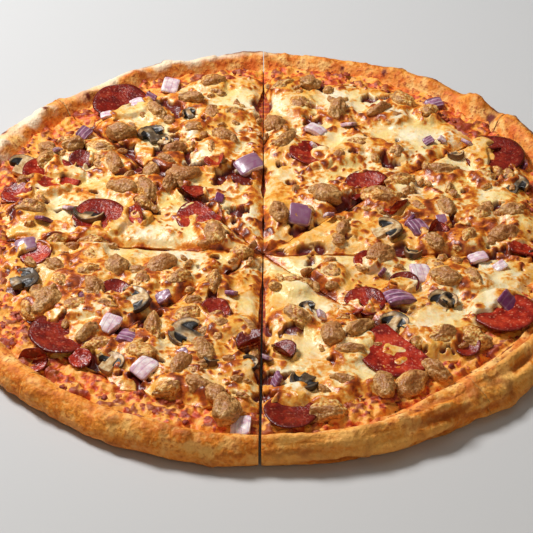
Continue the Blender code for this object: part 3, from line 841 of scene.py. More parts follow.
def climb_lumps(x, y, bent_x, bent_y, height, browned):
    """Raises and browns the cheese round each lump, and higher where it is smeared over one."""
    for (lump_x, lump_y, length), smeared in zip(SAUSAGES, lump_smeared):
        close = np.hypot(x - lump_x * MM, y - lump_y * MM) < 1.4 * length * MM
        away = np.hypot(bent_x[close] - lump_x * MM, bent_y[close] - lump_y * MM) / (length * MM / 2)
        height[close] += LUMP_CLIMB * np.exp(-((np.maximum(away, 0.8) - 0.8) / 0.45) ** 2)
        browned[close] += 0.22 * np.exp(-((away - 1.05) / 0.22) ** 2)
        if smeared:
            height[close] += SMEAR_CLIMB * np.exp(-((np.maximum(away, 0.7) - 0.7) / 0.5) ** 2)


def lap_pepperoni(spots, bent_x, bent_y, height):
    """Raises the cheese where it runs over the pepperoni."""
    bare = near(bent_x, bent_y, BARE_SPOTS)
    covered = near(bent_x, bent_y, COVERED_SPOTS)
    for pepperoni_x, pepperoni_y, size, *_ in PEPPERONI + SMALL_PEPPERONI:
        away = np.hypot(bent_x - pepperoni_x * MM, bent_y - pepperoni_y * MM) / (size * MM)
        lapped = ease(0.08, 0.42, rough(spots, 0.010, 30) + 0.5 * ease(0.55, 0.95, away) - 0.15)
        lapped = np.maximum(lapped * (1 - ease(0.3, 0.6, bare)), ease(0.35, 0.75, covered))
        height += LAP_RISE * lapped * ease(1.12, 0.92, away)


def raise_blisters(blisters, bent_x, bent_y, busy, height, browned):
    """Raises and browns each blister, more strongly where the cheese was busy with them."""
    for spot_x, spot_y, size, strength in blisters:
        close = np.abs(bent_x - spot_x) < 2.0 * size
        close &= np.abs(bent_y - spot_y) < 2.0 * size
        if not close.any():
            continue
        away = np.hypot(bent_x[close] - spot_x, bent_y[close] - spot_y) / size
        height[close] += BLISTER_SHARE * size * strength * busy[close] * np.exp(-away ** 2.6)
        browned[close] = np.maximum(
            browned[close], (0.28 + 0.66 * strength) * busy[close] * np.exp(-away ** 2)
        )


def cheese_surface(x, y):
    """The height of the cheese, and how browned, how oily and how open to the sauce it is; the dark sauce
    gaps are also painted shade.
    """
    spots = flat_points(x, y)
    white = near(x, y, WHITE_PATCHES)
    bent_x = x + 0.0016 * rough(spots, 0.005, 15) + 0.0005 * rough(spots, 0.002, 28)
    bent_y = y + 0.0016 * rough(spots, 0.005, 16) + 0.0005 * rough(spots, 0.002, 29)
    height = plain_cheese(x, y)
    puffed = (1 - 0.7 * white) * (rough(spots, 0.0078, 14) + 0.45 * rough(spots, 0.0034, 41))
    height += 0.0009 * rough(spots, 0.014, 13) + 0.0011 * puffed
    browned = 0.10 + 0.20 * rough(spots, 0.012, 35) + 0.30 * puffed
    climb_lumps(x, y, bent_x, bent_y, height, browned)
    lap_pepperoni(spots, bent_x, bent_y, height)
    busy = (0.40 + 0.60 * ease(-0.30, 0.20, rough(spots, 0.024, 17))) * (1 - 0.85 * white)
    raise_blisters(blisters_in_reach(x, y), bent_x, bent_y, busy, height, browned)
    over = np.maximum(height - CHEESE_TOP - FREE_RISE, 0.0)
    height += MOST_RISE * np.tanh(over / MOST_RISE) - over
    inside = cheese_edge_radius(x, y) - np.hypot(x, y)
    fade = ease(-0.001, 0.009, inside)
    # Dark gaps where the sauce shows through: their dark red is also painted shade in the hollows, with
    # more of them on the left.
    dark = near(bent_x, bent_y, DARK_PATCHES) + 0.35 * rough(spots, 0.004, 44)
    gaps = -rough(spots, 0.0085, 46) - 0.25 * rough(spots, 0.003, 47) + 0.15 * ease(0.01, -0.05, x)
    gaps = ease(0.44, 0.68, gaps) * (1 - white)
    dark = np.maximum(dark, 0.75 * gaps)
    height -= GAP_DEPTH * ease(0.3, 0.8, dark)
    thinnest = CHEESE_BOTTOM + 0.0006
    height = thinnest + (height - thinnest) * (0.25 + 0.75 * fade)
    oily = ease(-0.35, 0.60, rough(spots, 0.019, 18) + 0.5 * rough(spots, 0.006, 19))
    oily = np.clip(oily + 0.8 * ease(0.016, 0.002, inside), 0.0, 1.0) * (1 - 0.8 * white)
    browned = np.clip(browned * (1 - 0.6 * white), 0.0, 1.0)
    return height, browned, oily, ease(0.3, 0.7, dark)


print("plain cheese at the middle, in mm:", round(plain_cheese(*one_place(0.0, 0.0))[0] / MM, 2))

# %% [markdown]
# ## Melted cheese: its sheet
#
# A flat grid is fanned out over a slice from tip to edge, lifted to the rule's height, and then
# its outline is extruded down to the sauce, which gives the cheese its face at the cuts. Beside a
# cut the melted sheet drew back and drooped, more in some places than in others, and browned.

# %% Sheets of the slices
CHEESE_ACROSS = 160
CHEESE_ALONG = 220
DROOP = 0.0030
DROOP_REACH = 0.0030
PULL_REACH = 0.007
PULLED_SPOTS = ((-3, 122, 13), (2, 110, 8), (60, 40, 12), (-110, -12, 14), (-130, -6, 10))


def fanned_grid(name, number, across, along, reach, crowd=0.8):
    """A grid over one slice: its first rows are at the tip and its last along the reach."""
    first, second, _ = slice_angles(number)
    tip = slice_tip(number)
    bpy.ops.mesh.primitive_grid_add(x_subdivisions=across, y_subdivisions=along, size=2)
    sheet = bpy.context.object
    sheet.name = name
    square = read_points(sheet)
    angle = first + (second - first) * (square[:, 0] + 1) / 2
    out = ((square[:, 1] + 1) / 2) ** crowd
    run_x, run_y = np.cos(angle), np.sin(angle)
    lean = tip.x * run_x + tip.y * run_y
    length = np.full(len(out), 0.15)
    for _ in range(5):
        edge = reach(tip.x + length * run_x, tip.y + length * run_y)
        length = -lean + np.sqrt(lean ** 2 - tip.x ** 2 - tip.y ** 2 + edge ** 2)
    length = 0.0004 + (length - 0.0004) * out
    return sheet, tip.x + length * run_x, tip.y + length * run_y


def drawn_back(number, x, y):
    """Moves the points beside each cut into the slice, by an amount that varies along it."""
    first, second, _ = slice_angles(number)
    spots = flat_points(x, y)
    pull = 0.0012 * ease(-0.2, 0.7, rough(spots, 0.020, 37)) + 0.0004 * rough(spots, 0.006, 38)
    pull = np.maximum(pull, 0.0) + 0.0030 * near(x, y, PULLED_SPOTS)
    from_first, from_second = cut_distances(number, x, y)
    by_first = pull * (1 - ease(0.0, PULL_REACH, from_first)) * ease(0.004, 0.02, from_second)
    by_second = pull * (1 - ease(0.0, PULL_REACH, from_second)) * ease(0.004, 0.02, from_first)
    moved_x = x - by_first * math.sin(first) + by_second * math.sin(second)
    moved_y = y + by_first * math.cos(first) - by_second * math.cos(second)
    return moved_x, moved_y


def droop_at(number, x, y):
    """How much of the droop beside the cuts each point takes part in."""
    inside = np.maximum(inside_cuts(number, x, y), 0.0)
    return np.exp(-(inside / DROOP_REACH) ** 1.6)


def extrude_down(sheet, bottom):
    """Turns a lifted grid into a closed solid with a flat underside."""
    select_only(sheet)
    bpy.ops.object.mode_set(mode="EDIT")
    bpy.ops.mesh.select_mode(type="EDGE")
    bpy.ops.mesh.select_all(action="DESELECT")
    bpy.ops.mesh.select_non_manifold()
    bpy.ops.mesh.extrude_edges_move()
    bpy.ops.object.mode_set(mode="OBJECT")
    points = read_points(sheet)
    picked = np.zeros(len(points), bool)
    sheet.data.vertices.foreach_get("select", picked)
    points[picked, 2] = bottom
    write_points(sheet, points)
    bpy.ops.object.mode_set(mode="EDIT")
    bpy.ops.mesh.edge_face_add()
    bpy.ops.mesh.select_all(action="SELECT")
    bpy.ops.mesh.normals_make_consistent(inside=False)
    bpy.ops.object.mode_set(mode="OBJECT")


def cheese_sheet(number):
    name = f"cheese_sheet_{number + 1}"
    sheet, x, y = fanned_grid(name, number, CHEESE_ACROSS, CHEESE_ALONG, cheese_edge_radius)
    height, browned, oily, dark = cheese_surface(x, y)
    droop = droop_at(number, x, y)
    height = np.maximum(height - DROOP * droop, CHEESE_BOTTOM + 0.0004)
    x, y = drawn_back(number, x, y)
    write_points(sheet, np.stack([x, y, height], axis=1))
    browned += 0.45 * droop * ease(-0.3, 0.4, rough(flat_points(x, y), 0.007, 45))
    paint(sheet, "browned", np.clip(browned, 0, 1))
    paint(sheet, "oily", np.clip(oily + 0.4 * droop, 0, 1))
    paint(sheet, "sauce_and_painted_shade", dark)
    extrude_down(sheet, CHEESE_BOTTOM)
    return sheet


print("points on a sheet:", CHEESE_ACROSS * CHEESE_ALONG)

# %% [markdown]
# ## Finish of the cheese
#
# Mozzarella melts to a creamy sheet that lets light in a little. Its milk solids brown where a
# blister stood up into the heat, from gold at the foot to chestnut on top, and the orange oil of
# the sausage runs over the rest, so it is glossy. The gaps take the dark red of the sauce, deepened
# as painted shade.

# %% Finish of the cheese


def cheese_material():
    made, tree, shader, place = new_material("melted_mozzarella", 0.33)
    fine = speckle(tree, place, 0.0026, 5.0)
    cream = ramp(tree, speckle(tree, place, 0.016, 3.0), (0.34, "F8EBCB"), (0.62, "F4D68C"))
    oil_level = total(tree, painted(tree, "oily"), remap(tree, fine, 0.2, 0.8, -0.5, 0.5))
    colour = tint(tree, cream, oil_level, (0.12, 1.00), (0.0, 0.84), "EFA52E")
    brown_level = total(tree, painted(tree, "browned"), remap(tree, fine, 0.2, 0.8, -0.25, 0.25))
    brown = ramp(
        tree, brown_level,
        (0.18, "F4BA50"), (0.33, "E58F28"), (0.48, "BF5B18"), (0.66, "8E3C12"), (1.0, "57210D")
    )
    colour = tint(tree, colour, brown_level, (0.12, 0.32), (0.0, 1.0), brown)
    # The dark red of the sauce in the gaps, which is also painted shade.
    colour = tint(tree, colour, "sauce_and_painted_shade", (0.0, 1.0), (0.0, 1.0), "66180C")
    finish_shader(tree, shader, colour, fine, 0.60, 0.0010)
    let_light_in(shader, 0.16, 0.0018)
    return made


cheese_finish = cheese_material()
for number in SLICES:
    sheet = cheese_sheet(number)
    finish_piece(sheet, (cheese_finish,), (f"cheese_{number + 1}",))
    sheet.data.transform(slice_move(number))
    print(sheet.name, "faces:", len(sheet.data.polygons))

# %% [markdown]
# ## Tomato sauce
#
# Under the cheese the sauce is only a thin layer. Past the cheese's edge it shows as an orange-red
# band that baked on, with shreds of cheese and dark bits in it, and it runs a little way up the
# foot of the rim.

# %% Sauce
SAUCE_BOTTOM = 0.0073
SAUCE_TOP = 0.0084
SAUCE_ACROSS = 150
SAUCE_ALONG = 90
SAUCE_LUMPS = 0.0026
SAUCE_CLIMB = 0.0035
RIM_SLOPE = (
    # How far past the rim's foot, and how high the dough is there
    (0.0, 0.003, 0.006, 0.010), (0.0070, 0.0107, 0.0152, 0.0165),
)


def sauce_edge_radius(x, y):
    """How far out the sauce reaches on the bearing of each point."""
    bearing = np.arctan2(y, x)
    ring = flat_points(np.cos(bearing) * RIM_FOOT, np.sin(bearing) * RIM_FOOT)
    reach = foot_radius(x, y) + SAUCE_CLIMB
    return reach + 0.0022 * rough(ring, 0.010, 21) + 0.0012 * rough(ring, 0.004, 22)


def sauce_surface(x, y):
    """The height of the sauce, how much it shows past the cheese, and how lumpy it is."""
    spots = flat_points(x, y)
    past_foot = np.hypot(x, y) - foot_radius(x, y)
    shows = ease(0.0, 0.006, past_foot + CHEESE_EDGE + 0.008)
    lumpy = 0.45 + 0.5 * rough(spots, 0.0055, 23) + 0.5 * rough(spots, 0.0028, 24)
    lumpy += 0.3 * rough(spots, 0.0016, 43)
    height = SAUCE_TOP - 0.0002 + shows * (0.0014 + SAUCE_LUMPS * np.clip(lumpy, -0.2, 1.5))
    height += 0.0042 * ease(-0.001, 0.0065, past_foot)
    sunk = ease(0.0045, 0.0, sauce_edge_radius(x, y) - np.hypot(x, y))
    below_rim = np.interp(past_foot, *RIM_SLOPE) - 0.0012
    return height * (1 - sunk) + below_rim * sunk, shows, lumpy


def sauce_sheet(number):
    name = f"sauce_sheet_{number + 1}"
    sheet, x, y = fanned_grid(name, number, SAUCE_ACROSS, SAUCE_ALONG, sauce_edge_radius, crowd=0.35)
    spots = flat_points(x, y)
    height, shows, lumpy = sauce_surface(x, y)
    height = np.maximum(height - 0.0012 * droop_at(number, x, y), SAUCE_BOTTOM + 0.0004)
    write_points(sheet, np.stack([x, y, height], axis=1))
    cheesy = ease(-0.20, 0.30, 0.7 * rough(spots, 0.007, 25) + 0.7 * rough(spots, 0.0028, 26))
    dried = ease(0.50, 0.95, lumpy + 0.30 * rough(spots, 0.010, 27))
    paint(sheet, "cheesy", cheesy * shows)
    paint(sheet, "dried", dried * shows + (1 - shows) * 0.7)
    extrude_down(sheet, SAUCE_BOTTOM)
    return sheet


def sauce_material():
    made, tree, shader, place = new_material("baked_tomato_sauce", 0.55)
    fine = speckle(tree, place, 0.0026, 4.0)
    colour = ramp(tree, fine, (0.36, "B4340E"), (0.50, "DC5E18"), (0.62, "F4962C"))
    colour = tint(tree, colour, "cheesy", (0.2, 1.0), (0.0, 0.9), "F6AE46")
    dried = total(tree, painted(tree, "dried"), remap(tree, fine, 0.2, 0.8, 0.35, -0.35))
    colour = tint(tree, colour, dried, (0.34, 0.80), (0.0, 0.85), "902C12")
    finish_shader(tree, shader, colour, fine, 0.8, 0.0012)
    return made


sauce_finish = sauce_material()
for number in SLICES:
    sheet = sauce_sheet(number)
    finish_piece(sheet, (sauce_finish,), (f"sauce_{number + 1}",))
    sheet.data.transform(slice_move(number))
print("sauce slices:", len(SLICES))

# %% [markdown]
# ## Sausage
#
# Crumbled raw sausage bakes into pellets with a grainy skin. Each starts as a ball of small
# triangles and is pushed in and out by three sizes of roughness: the pellet's own form, the coarse
# mince, and the grain of the meat. Cheese is smeared over about half of them. Crumbs broke off and
# lie between the larger ones. The lumps and crumbs of a slice are joined, and with its sheet of
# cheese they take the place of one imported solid.

# %% Sausage lumps
SAUSAGE_WIDTH_SHARE = 0.61
SAUSAGE_HEIGHT_SHARE = 0.60
SAUSAGE_RISE = 0.0019
SMEARED_SINK = 0.0008
SAUSAGE_FINENESS = 5
CRUMB_COUNT = 170
CRUMB_SIZES = (4.0, 8.5)
CRUMB_SINK = 0.0010
CRUMB_FINENESS = 4
FARTHEST_CRUMB = 143


def sausage_lump(order, x, y, length, depth, fineness, smeared):
    """One pellet of sausage, half sunk in the cheese; its order number shapes and turns it."""
    bpy.ops.mesh.primitive_ico_sphere_add(subdivisions=fineness, radius=length * MM / 2)
    lump = bpy.context.object
    points = read_points(lump)
    way = points / np.linalg.norm(points, axis=1)[:, None]
    seed = way + 3.1 * order
    form = 0.24 * rough(seed, 0.95, 31) + 0.20 * rough(seed, 0.52, 32)
    mince = 0.060 * rough(seed, 0.26, 33)
    grain = 0.024 * rough(seed, 0.13, 34)
    points = points * (1 + form + mince + grain)[:, None]
    points[:, 1] *= SAUSAGE_WIDTH_SHARE + 0.12 * math.sin(5.0 * order)
    points[:, 2] *= SAUSAGE_HEIGHT_SHARE
    turn = 2.4 * order
    swung_x = points[:, 0] * math.cos(turn) - points[:, 1] * math.sin(turn)
    swung_y = points[:, 0] * math.sin(turn) + points[:, 1] * math.cos(turn)
    seat = seat_height(*one_place(x * MM, y * MM))[0]
    height = np.maximum(points[:, 2] + seat + SAUSAGE_RISE + depth, CHEESE_BOTTOM + 0.0002)
    write_points(lump, np.stack([swung_x + x * MM, swung_y + y * MM, height], axis=1))
    # Painted shade: darker where the mince and grain sink in.
    paint(lump, "painted_crevice_shade", np.clip(0.45 - 5.0 * (mince + grain), 0, 1))
    paint(lump, "shade", np.full(len(points), (order * 0.618) % 1.0))
    paint(lump, "top", ease(0.35, 0.95, way[:, 2]))
    smear = rough(seed, 0.7, 35) + 0.5 * rough(seed, 0.3, 36)
    paint(lump, "smeared", smeared * ease(-0.15, 0.35, smear))
    return lump


def place_in_slice(piece, x, y, size):
    """Cuts a piece where its slice was cut, and moves it with its slice."""
    number = slice_of(x * MM, y * MM)
    if inside_cuts(number, *one_place(x * MM, y * MM))[0] < 0.62 * size * MM:
        trim_to_slice(piece, number)
    piece.data.transform(slice_move(number))


def sausage_material():
    made, tree, shader, place = new_material("baked_pork_sausage", 0.46)
    fine = speckle(tree, place, 0.0014, 2.0)
    grains = total(tree, fine, remap(tree, cells(tree, place, 0.0018), 0.0, 0.8, 0.10, -0.10))
    meat = ramp(tree, speckle(tree, place, 0.006), (0.32, "A87438"), (0.50, "C68E48"), (0.68, "DCAA64"))
    flecks = ramp(tree, grains, (0.34, "7C4E26"), (0.50, "C48C4A"), (0.64, "F0C88C"))
    colour = blend(tree, 0.50, meat, flecks)
    colour = tint(tree, colour, "shade", (0.45, 1.0), (0.0, 0.35), "B0622A")
    uneven = remap(tree, speckle(tree, place, 0.003), 0.3, 0.7, -0.7, 0.1)
    seared = total(tree, painted(tree, "top"), uneven)
    colour = tint(tree, colour, seared, (0.2, 0.9), (0.0, 0.50), "A04E22")
    # Painted shade in the sunken places of the lump.
    colour = tint(tree, colour, "painted_crevice_shade", (0.50, 1.0), (0.0, 0.50), "6A3E18")
    cheesy = ramp(tree, fine, (0.36, "B25A1A"), (0.48, "E29A36"), (0.62, "F6D286"))
    colour = tint(tree, colour, "smeared", (0.3, 0.9), (0.0, 0.80), cheesy)
    finish_shader(tree, shader, colour, grains, 0.85, 0.0012)
    return made


sausage_finish = sausage_material()
lumps = {number: [] for number in SLICES}
for order, ((x, y, length), smeared, depth) in enumerate(zip(SAUSAGES, lump_smeared, lump_depth)):
    reach = foot_radius(*one_place(x, y))[0] - 0.001 - 0.45 * length * MM
    inward = min(1.0, reach / (math.hypot(x, y) * MM))
    x, y = x * inward, y * inward
    depth -= SMEARED_SINK * smeared
    lump = sausage_lump(order, x, y, length, depth, SAUSAGE_FINENESS, smeared)
    place_in_slice(lump, x, y, length)
    lumps[slice_of(x * MM, y * MM)].append(lump)
parents = draw.integers(0, len(SAUSAGES), CRUMB_COUNT)
for order, parent in enumerate(parents):
    x, y, length = SAUSAGES[parent]
    away = 0.5 * length + draw.uniform(1.0, 7.0)
    swing = draw.uniform(0.0, math.tau)
    x, y = x + away * math.cos(swing), y + away * math.sin(swing)
    if math.hypot(x, y) > FARTHEST_CRUMB:
        continue
    size = draw.uniform(*CRUMB_SIZES)
    crumb = sausage_lump(order + 200, x, y, size, -CRUMB_SINK, CRUMB_FINENESS, order % 2)
    place_in_slice(crumb, x, y, size)
    lumps[slice_of(x * MM, y * MM)].append(crumb)
for number in SLICES:
    sausage = join(f"sausage_{number + 1}", lumps[number])
    finish_piece(sausage, (sausage_finish,), (f"cheese_{number + 1}",))
    print(sausage.name, "faces:", len(sausage.data.polygons))

# %% [markdown]
# ## Pepperoni
#
# Each slice starts as a sphere whose rings are spread flat, which gives a closed disc with a round
# edge. Baking makes the edge rise, ripple and darken, and fat cooks out of it in specks. Some
# slices cooked darker than others. The small ones are joined to one piece, some of them folded.

# %% Pepperoni
PEPPERONI_THICKNESS = 0.0018
PEPPERONI_CUP = 0.0016
PEPPERONI_LIFT = 0.0004
PEPPERONI_BIT_LIFT = 0.0006
PEPPERONI_FOLD = math.radians(70)
PEPPERONI_COOKED = (0.8, 0.3, 0.6, 0.4, 0.8, 0.1, 0.3, 0.4, 0.6, 0.4, 0.9, 0.9)


def pepperoni_disc(order, size, fold=0.0):
    """One cupped slice of pepperoni, lying flat at the origin; a fold lifts one side of it."""
    bpy.ops.mesh.primitive_uv_sphere_add(segments=60, ring_count=28, radius=1.0)
    disc = bpy.context.object
    ball = read_points(disc)
    polar = np.arccos(np.clip(ball[:, 2], -1.0, 1.0))
    out = 1 - np.abs(1 - polar / (math.pi / 2))
    angle = np.arctan2(ball[:, 1], ball[:, 0])
    ring = flat_points(np.cos(angle), np.sin(angle)) + 5.3 * order
    radius = size * out * (1 + 0.035 * rough(ring, 0.5, 41))
    half = PEPPERONI_THICKNESS / 2 * np.sqrt(np.clip(1 - out ** 8, 0.0, 1.0))
    height = np.where(ball[:, 2] >= 0, half, -half) + PEPPERONI_CUP * (out ** 2 - 0.35)
    height += 0.0010 * out ** 2 * rough(ring, 0.6, 42)
    x, y = radius * np.cos(angle), radius * np.sin(angle)
    if fold:
        beyond = np.maximum(x - 0.1 * size, 0.0)
        turned = np.minimum(beyond / (0.25 * size), 1.0) * fold
        x = np.where(beyond > 0, 0.1 * size + beyond * np.cos(turned), x)
        height = height + beyond * np.sin(turned)
    write_points(disc, np.stack([x, y, height], axis=1))
    paint(disc, "edge", out)
    return disc


def lean_of(lean, bearing):
    """The tilt that raises the side which lies at the given bearing, both in degrees."""
    axis = Matrix.Rotation(math.radians(bearing), 3, "Z") @ Vector((0.0, 1.0, 0.0))
    return Matrix.Rotation(math.radians(-lean), 4, axis)


def lay(piece, x, y, size, lift, tilt):
    """Lays a topping on the cheese; what would sink through it is pressed flat."""
    seat = seat_height(*one_place(x * MM, y * MM))[0]
    piece.data.transform(Matrix.Translation((x * MM, y * MM, seat + lift)) @ tilt)
    points = read_points(piece)
    points[:, 2] = np.maximum(points[:, 2], CHEESE_BOTTOM + 0.0012)
    write_points(piece, points)
    place_in_slice(piece, x, y, size)


def pepperoni_material():
    made, tree, shader, place = new_material("cured_pepperoni", 0.27)
    shader.inputs["Specular IOR Level"].default_value = 0.38
    fine = speckle(tree, place, 0.0014)
    colour = ramp(tree, speckle(tree, place, 0.006), (0.35, "76150A"), (0.50, "A62512"), (0.64, "C84224"))
    fat = total(tree, cells(tree, place, 0.0024), remap(tree, fine, 0.2, 0.8, -0.25, 0.25))
    colour = tint(tree, colour, fat, (0.30, 0.14), (0.0, 0.75), "D97C5C")
    colour = tint(tree, colour, "edge", (0.78, 1.0), (0.0, 0.75), "5E0F0A")
    cooked = total(tree, painted(tree, "cooked"), remap(tree, fine, 0.3, 0.7, -0.2, 0.2))
    colour = tint(tree, colour, cooked, (0.2, 1.0), (0.0, 0.72), "4C110A")
    finish_shader(tree, shader, colour, fine, 0.70, 0.0007)
    let_light_in(shader, 0.12, 0.0016)
    return made


pepperoni_finish = pepperoni_material()
for order, (x, y, size, lean, bearing) in enumerate(PEPPERONI):
    disc = pepperoni_disc(order, size * MM)
    disc.name = f"pepperoni_slice_{order + 1}"
    paint(disc, "cooked", np.full(len(disc.data.vertices), PEPPERONI_COOKED[order]))
    lay(disc, x, y, 2 * size, PEPPERONI_LIFT, lean_of(lean, bearing))
    finish_piece(disc, (pepperoni_finish,), (f"pepperoni_{order + 1}",))
bits = []
for order, (x, y, size, lean, bearing) in enumerate(SMALL_PEPPERONI):
    bit = pepperoni_disc(order + 20, size * MM, fold=PEPPERONI_FOLD if order % 3 == 0 else 0.0)
    paint(bit, "cooked", np.full(len(bit.data.vertices), (order * 0.618) % 1.0))
    tilt = lean_of(lean, bearing) @ Matrix.Rotation(1.7 * order, 4, "Z")
    lay(bit, x, y, 2 * size, PEPPERONI_BIT_LIFT, tilt)
    bits.append(bit)
bits = join("pepperoni_bits", bits)
finish_piece(bits, (pepperoni_finish,))
print("pepperoni slices:", len(PEPPERONI), "and bits:", len(SMALL_PEPPERONI))

# %% [markdown]
# ## Mushrooms
#
# A mushroom was cut down through its middle: a domed cap with brown skin, dark gills under it on
# both sides, and a pale stem. The outline is filled, thickened, and remade from small even faces,
# which rounds its edges as the heat did. The gills are nearly black, and the heat charred some
# slices more than others.

# %% Mushrooms
MUSHROOM_THICKNESS = 0.0030
MUSHROOM_FACE = 0.00050
MUSHROOM_LIFT = 0.0010
MUSHROOM_LEAN = 9
MUSHROOM_BIT_LIFT = 0.0014
MUSHROOM_BIT_LEAN = 18
CAP_STEPS = 24
MUSHROOM_CHARRED = (0.1, 0.6, 0.95, 0.4, 0.1, 0.3, 0.7, 0.5, 0.6, 0.6, 0.8, 0.3)


def mushroom_outline(cap):
    """The outline of a slice: the dome of the cap, then its lip and the stem on both sides."""
    turns = [step * math.pi / CAP_STEPS for step in range(CAP_STEPS + 1)]
    dome = [(cap * math.cos(turn), 0.95 * cap * math.sin(turn)) for turn in turns]
    stem, foot = 0.40 * cap, 0.84 * cap
    left = [
        (-0.98 * cap, -0.14 * cap), (-0.86 * cap, -0.22 * cap), (-0.60 * cap, -0.10 * cap),
        (-stem, -0.05 * cap), (-1.15 * stem, -foot),
    ]
    right = [(-x, y) for x, y in reversed(left)]
    return dome + left + [(0.0, -1.06 * foot)] + right


def mushroom_slice(order, width):
    """One slice of mushroom, lying flat at the origin."""
    cap = width / 2
    rows = mushroom_outline(cap)
    bpy.ops.mesh.primitive_circle_add(vertices=len(rows), fill_type="NGON")
    piece = bpy.context.object
    write_points(piece, [(x, y, -MUSHROOM_THICKNESS / 2) for x, y in rows])
    bpy.ops.object.mode_set(mode="EDIT")
    bpy.ops.mesh.select_all(action="SELECT")
    bpy.ops.mesh.extrude_region_move(TRANSFORM_OT_translate={"value": (0, 0, MUSHROOM_THICKNESS)})
    bpy.ops.mesh.select_all(action="SELECT")
    bpy.ops.mesh.normals_make_consistent(inside=False)
    bpy.ops.object.mode_set(mode="OBJECT")
    remade = piece.modifiers.new("remade", "REMESH")
    remade.mode = "VOXEL"
    remade.voxel_size = MUSHROOM_FACE
    bpy.ops.object.modifier_apply(modifier=remade.name)
    points = read_points(piece)
    across, along = points[:, 0] / cap, points[:, 1] / cap
    flesh = ease(0.10, 0.0, np.hypot(across / 0.84, (along + 0.06) / 0.66) - 0.92)
    gills = flesh * ease(0.22, 0.34, np.abs(across)) * ease(-0.30, -0.18, along)
    skin = ease(0.86, 0.96, np.hypot(across, along / 0.95)) * ease(-0.2, -0.05, along)
    seed = points / cap + 4.1 * order
    points[:, 2] += 0.0009 * rough(seed, 0.9, 51) + 0.0003 * rough(seed, 0.3, 52) - 0.0005 * gills
    points[:, 2] += 0.0016 * (across ** 2 - 0.3)
    write_points(piece, points)
    paint(piece, "gills", gills)
    charred = MUSHROOM_CHARRED[order % len(MUSHROOM_CHARRED)]
    paint(piece, "charred", ease(0.35, -0.35, rough(seed, 0.7, 53) + 0.5 - charred))
    paint(piece, "skin", skin)
    return piece


def mushroom_material():
    made, tree, shader, place = new_material("baked_mushroom", 0.40)
    fine = speckle(tree, place, 0.0022, 5.0)
    colour = ramp(tree, fine, (0.34, "A97C48"), (0.50, "D0A873"), (0.68, "EAD3A6"))
    colour = tint(tree, colour, "skin", (0.0, 1.0), (0.0, 1.0), "6E4424")
    colour = tint(tree, colour, "charred", (0.0, 1.0), (0.0, 0.88), "2A1F19")
    colour = tint(tree, colour, "gills", (0.15, 0.75), (0.0, 1.0), "1D1715")
    finish_shader(tree, shader, colour, fine, 0.5, 0.0006)
    let_light_in(shader, 0.10, 0.0015)
    return made


mushroom_finish = mushroom_material()
for order, (x, y, width, bearing) in enumerate(MUSHROOMS):
    piece = mushroom_slice(order, width * MM)
    piece.name = f"mushroom_slice_{order + 1}"
    tilt = Matrix.Rotation(math.radians(bearing + 90), 4, "Z") @ lean_of(MUSHROOM_LEAN, 90)
    lay(piece, x, y, width, MUSHROOM_LIFT, tilt)
    finish_piece(piece, (mushroom_finish,), (f"mushroom_{order + 1}",))
bits = []
for order, (x, y, width, bearing) in enumerate(SMALL_MUSHROOMS):
    bit = mushroom_slice(order + 30, width * MM)
    tilt = Matrix.Rotation(math.radians(bearing), 4, "Z") @ lean_of(MUSHROOM_BIT_LEAN, 90)
    lay(bit, x, y, width, MUSHROOM_BIT_LIFT, tilt)
    bits.append(bit)
bits = join("mushroom_bits", bits)
finish_piece(bits, (mushroom_finish,))
print("mushroom slices:", len(MUSHROOMS), "and bits:", len(SMALL_MUSHROOMS))

# %% [markdown]
# ## Red onion
#
# A square of red onion is one or two layers of the bulb, so it bends one way, is striped with the
# veins of its layers, and shows purple skin at its edges and underside. A few lie with the skin
# up, and about half are deep purple with pale stripes. Each is a cube, cut finely, bent round the
# bulb and roughened.

# %% Red onion
ONION_LENGTH_SHARE = 0.80
ONION_LAYER = 0.0034
ONION_BIT_LAYER = 0.0022
ONION_BEND_RADIUS = 0.018
ONION_CUTS = 11
ONION_LIFT = 0.0018
ONION_LEAN = 14
ONION_BIT_LIFT = 0.0016
STRIPE_TURNS = 19.0


def onion_square(order, width, layer=ONION_LAYER):
    """One bent square of onion at the origin."""
    bpy.ops.mesh.primitive_cube_add(size=2)
    piece = bpy.context.object
    bpy.ops.object.mode_set(mode="EDIT")
    bpy.ops.mesh.select_all(action="SELECT")
    bpy.ops.mesh.subdivide(number_cuts=ONION_CUTS)
    bpy.ops.object.mode_set(mode="OBJECT")
    cube = read_points(piece)
    rounded = cube / np.maximum(np.linalg.norm(cube, ord=7, axis=1), 1.0)[:, None]
    seed = cube + 6.7 * order
    rounded += 0.05 * np.stack([rough(seed, 0.9, 61), rough(seed, 0.9, 62), 0 * seed[:, 0]], axis=1)
    angle = rounded[:, 0] * width / ONION_BEND_RADIUS / 2
    bulb = ONION_BEND_RADIUS + rounded[:, 2] * layer / 2 + 0.0002 * rough(seed, 0.4, 63)
    length = ONION_LENGTH_SHARE * width / 2 * rounded[:, 1]
    height = bulb * np.cos(angle) - ONION_BEND_RADIUS
    write_points(piece, np.stack([bulb * np.sin(angle), length, height], axis=1))
    face_up = ease(0.80, 1.0, cube[:, 2]) * (order % 4 == 0)
    edge_on = 0.55 * ease(0.78, 1.0, np.abs(cube[:, 0])) + 0.9 * ease(0.3, -0.9, cube[:, 2])
    paint(piece, "skin", np.clip(np.maximum(face_up, edge_on), 0, 1))
    paint(piece, "across", cube[:, 1] * 0.5 + 0.5)
    paint(piece, "shade", np.full(len(cube), (order * 0.382) % 1.0))
    return piece


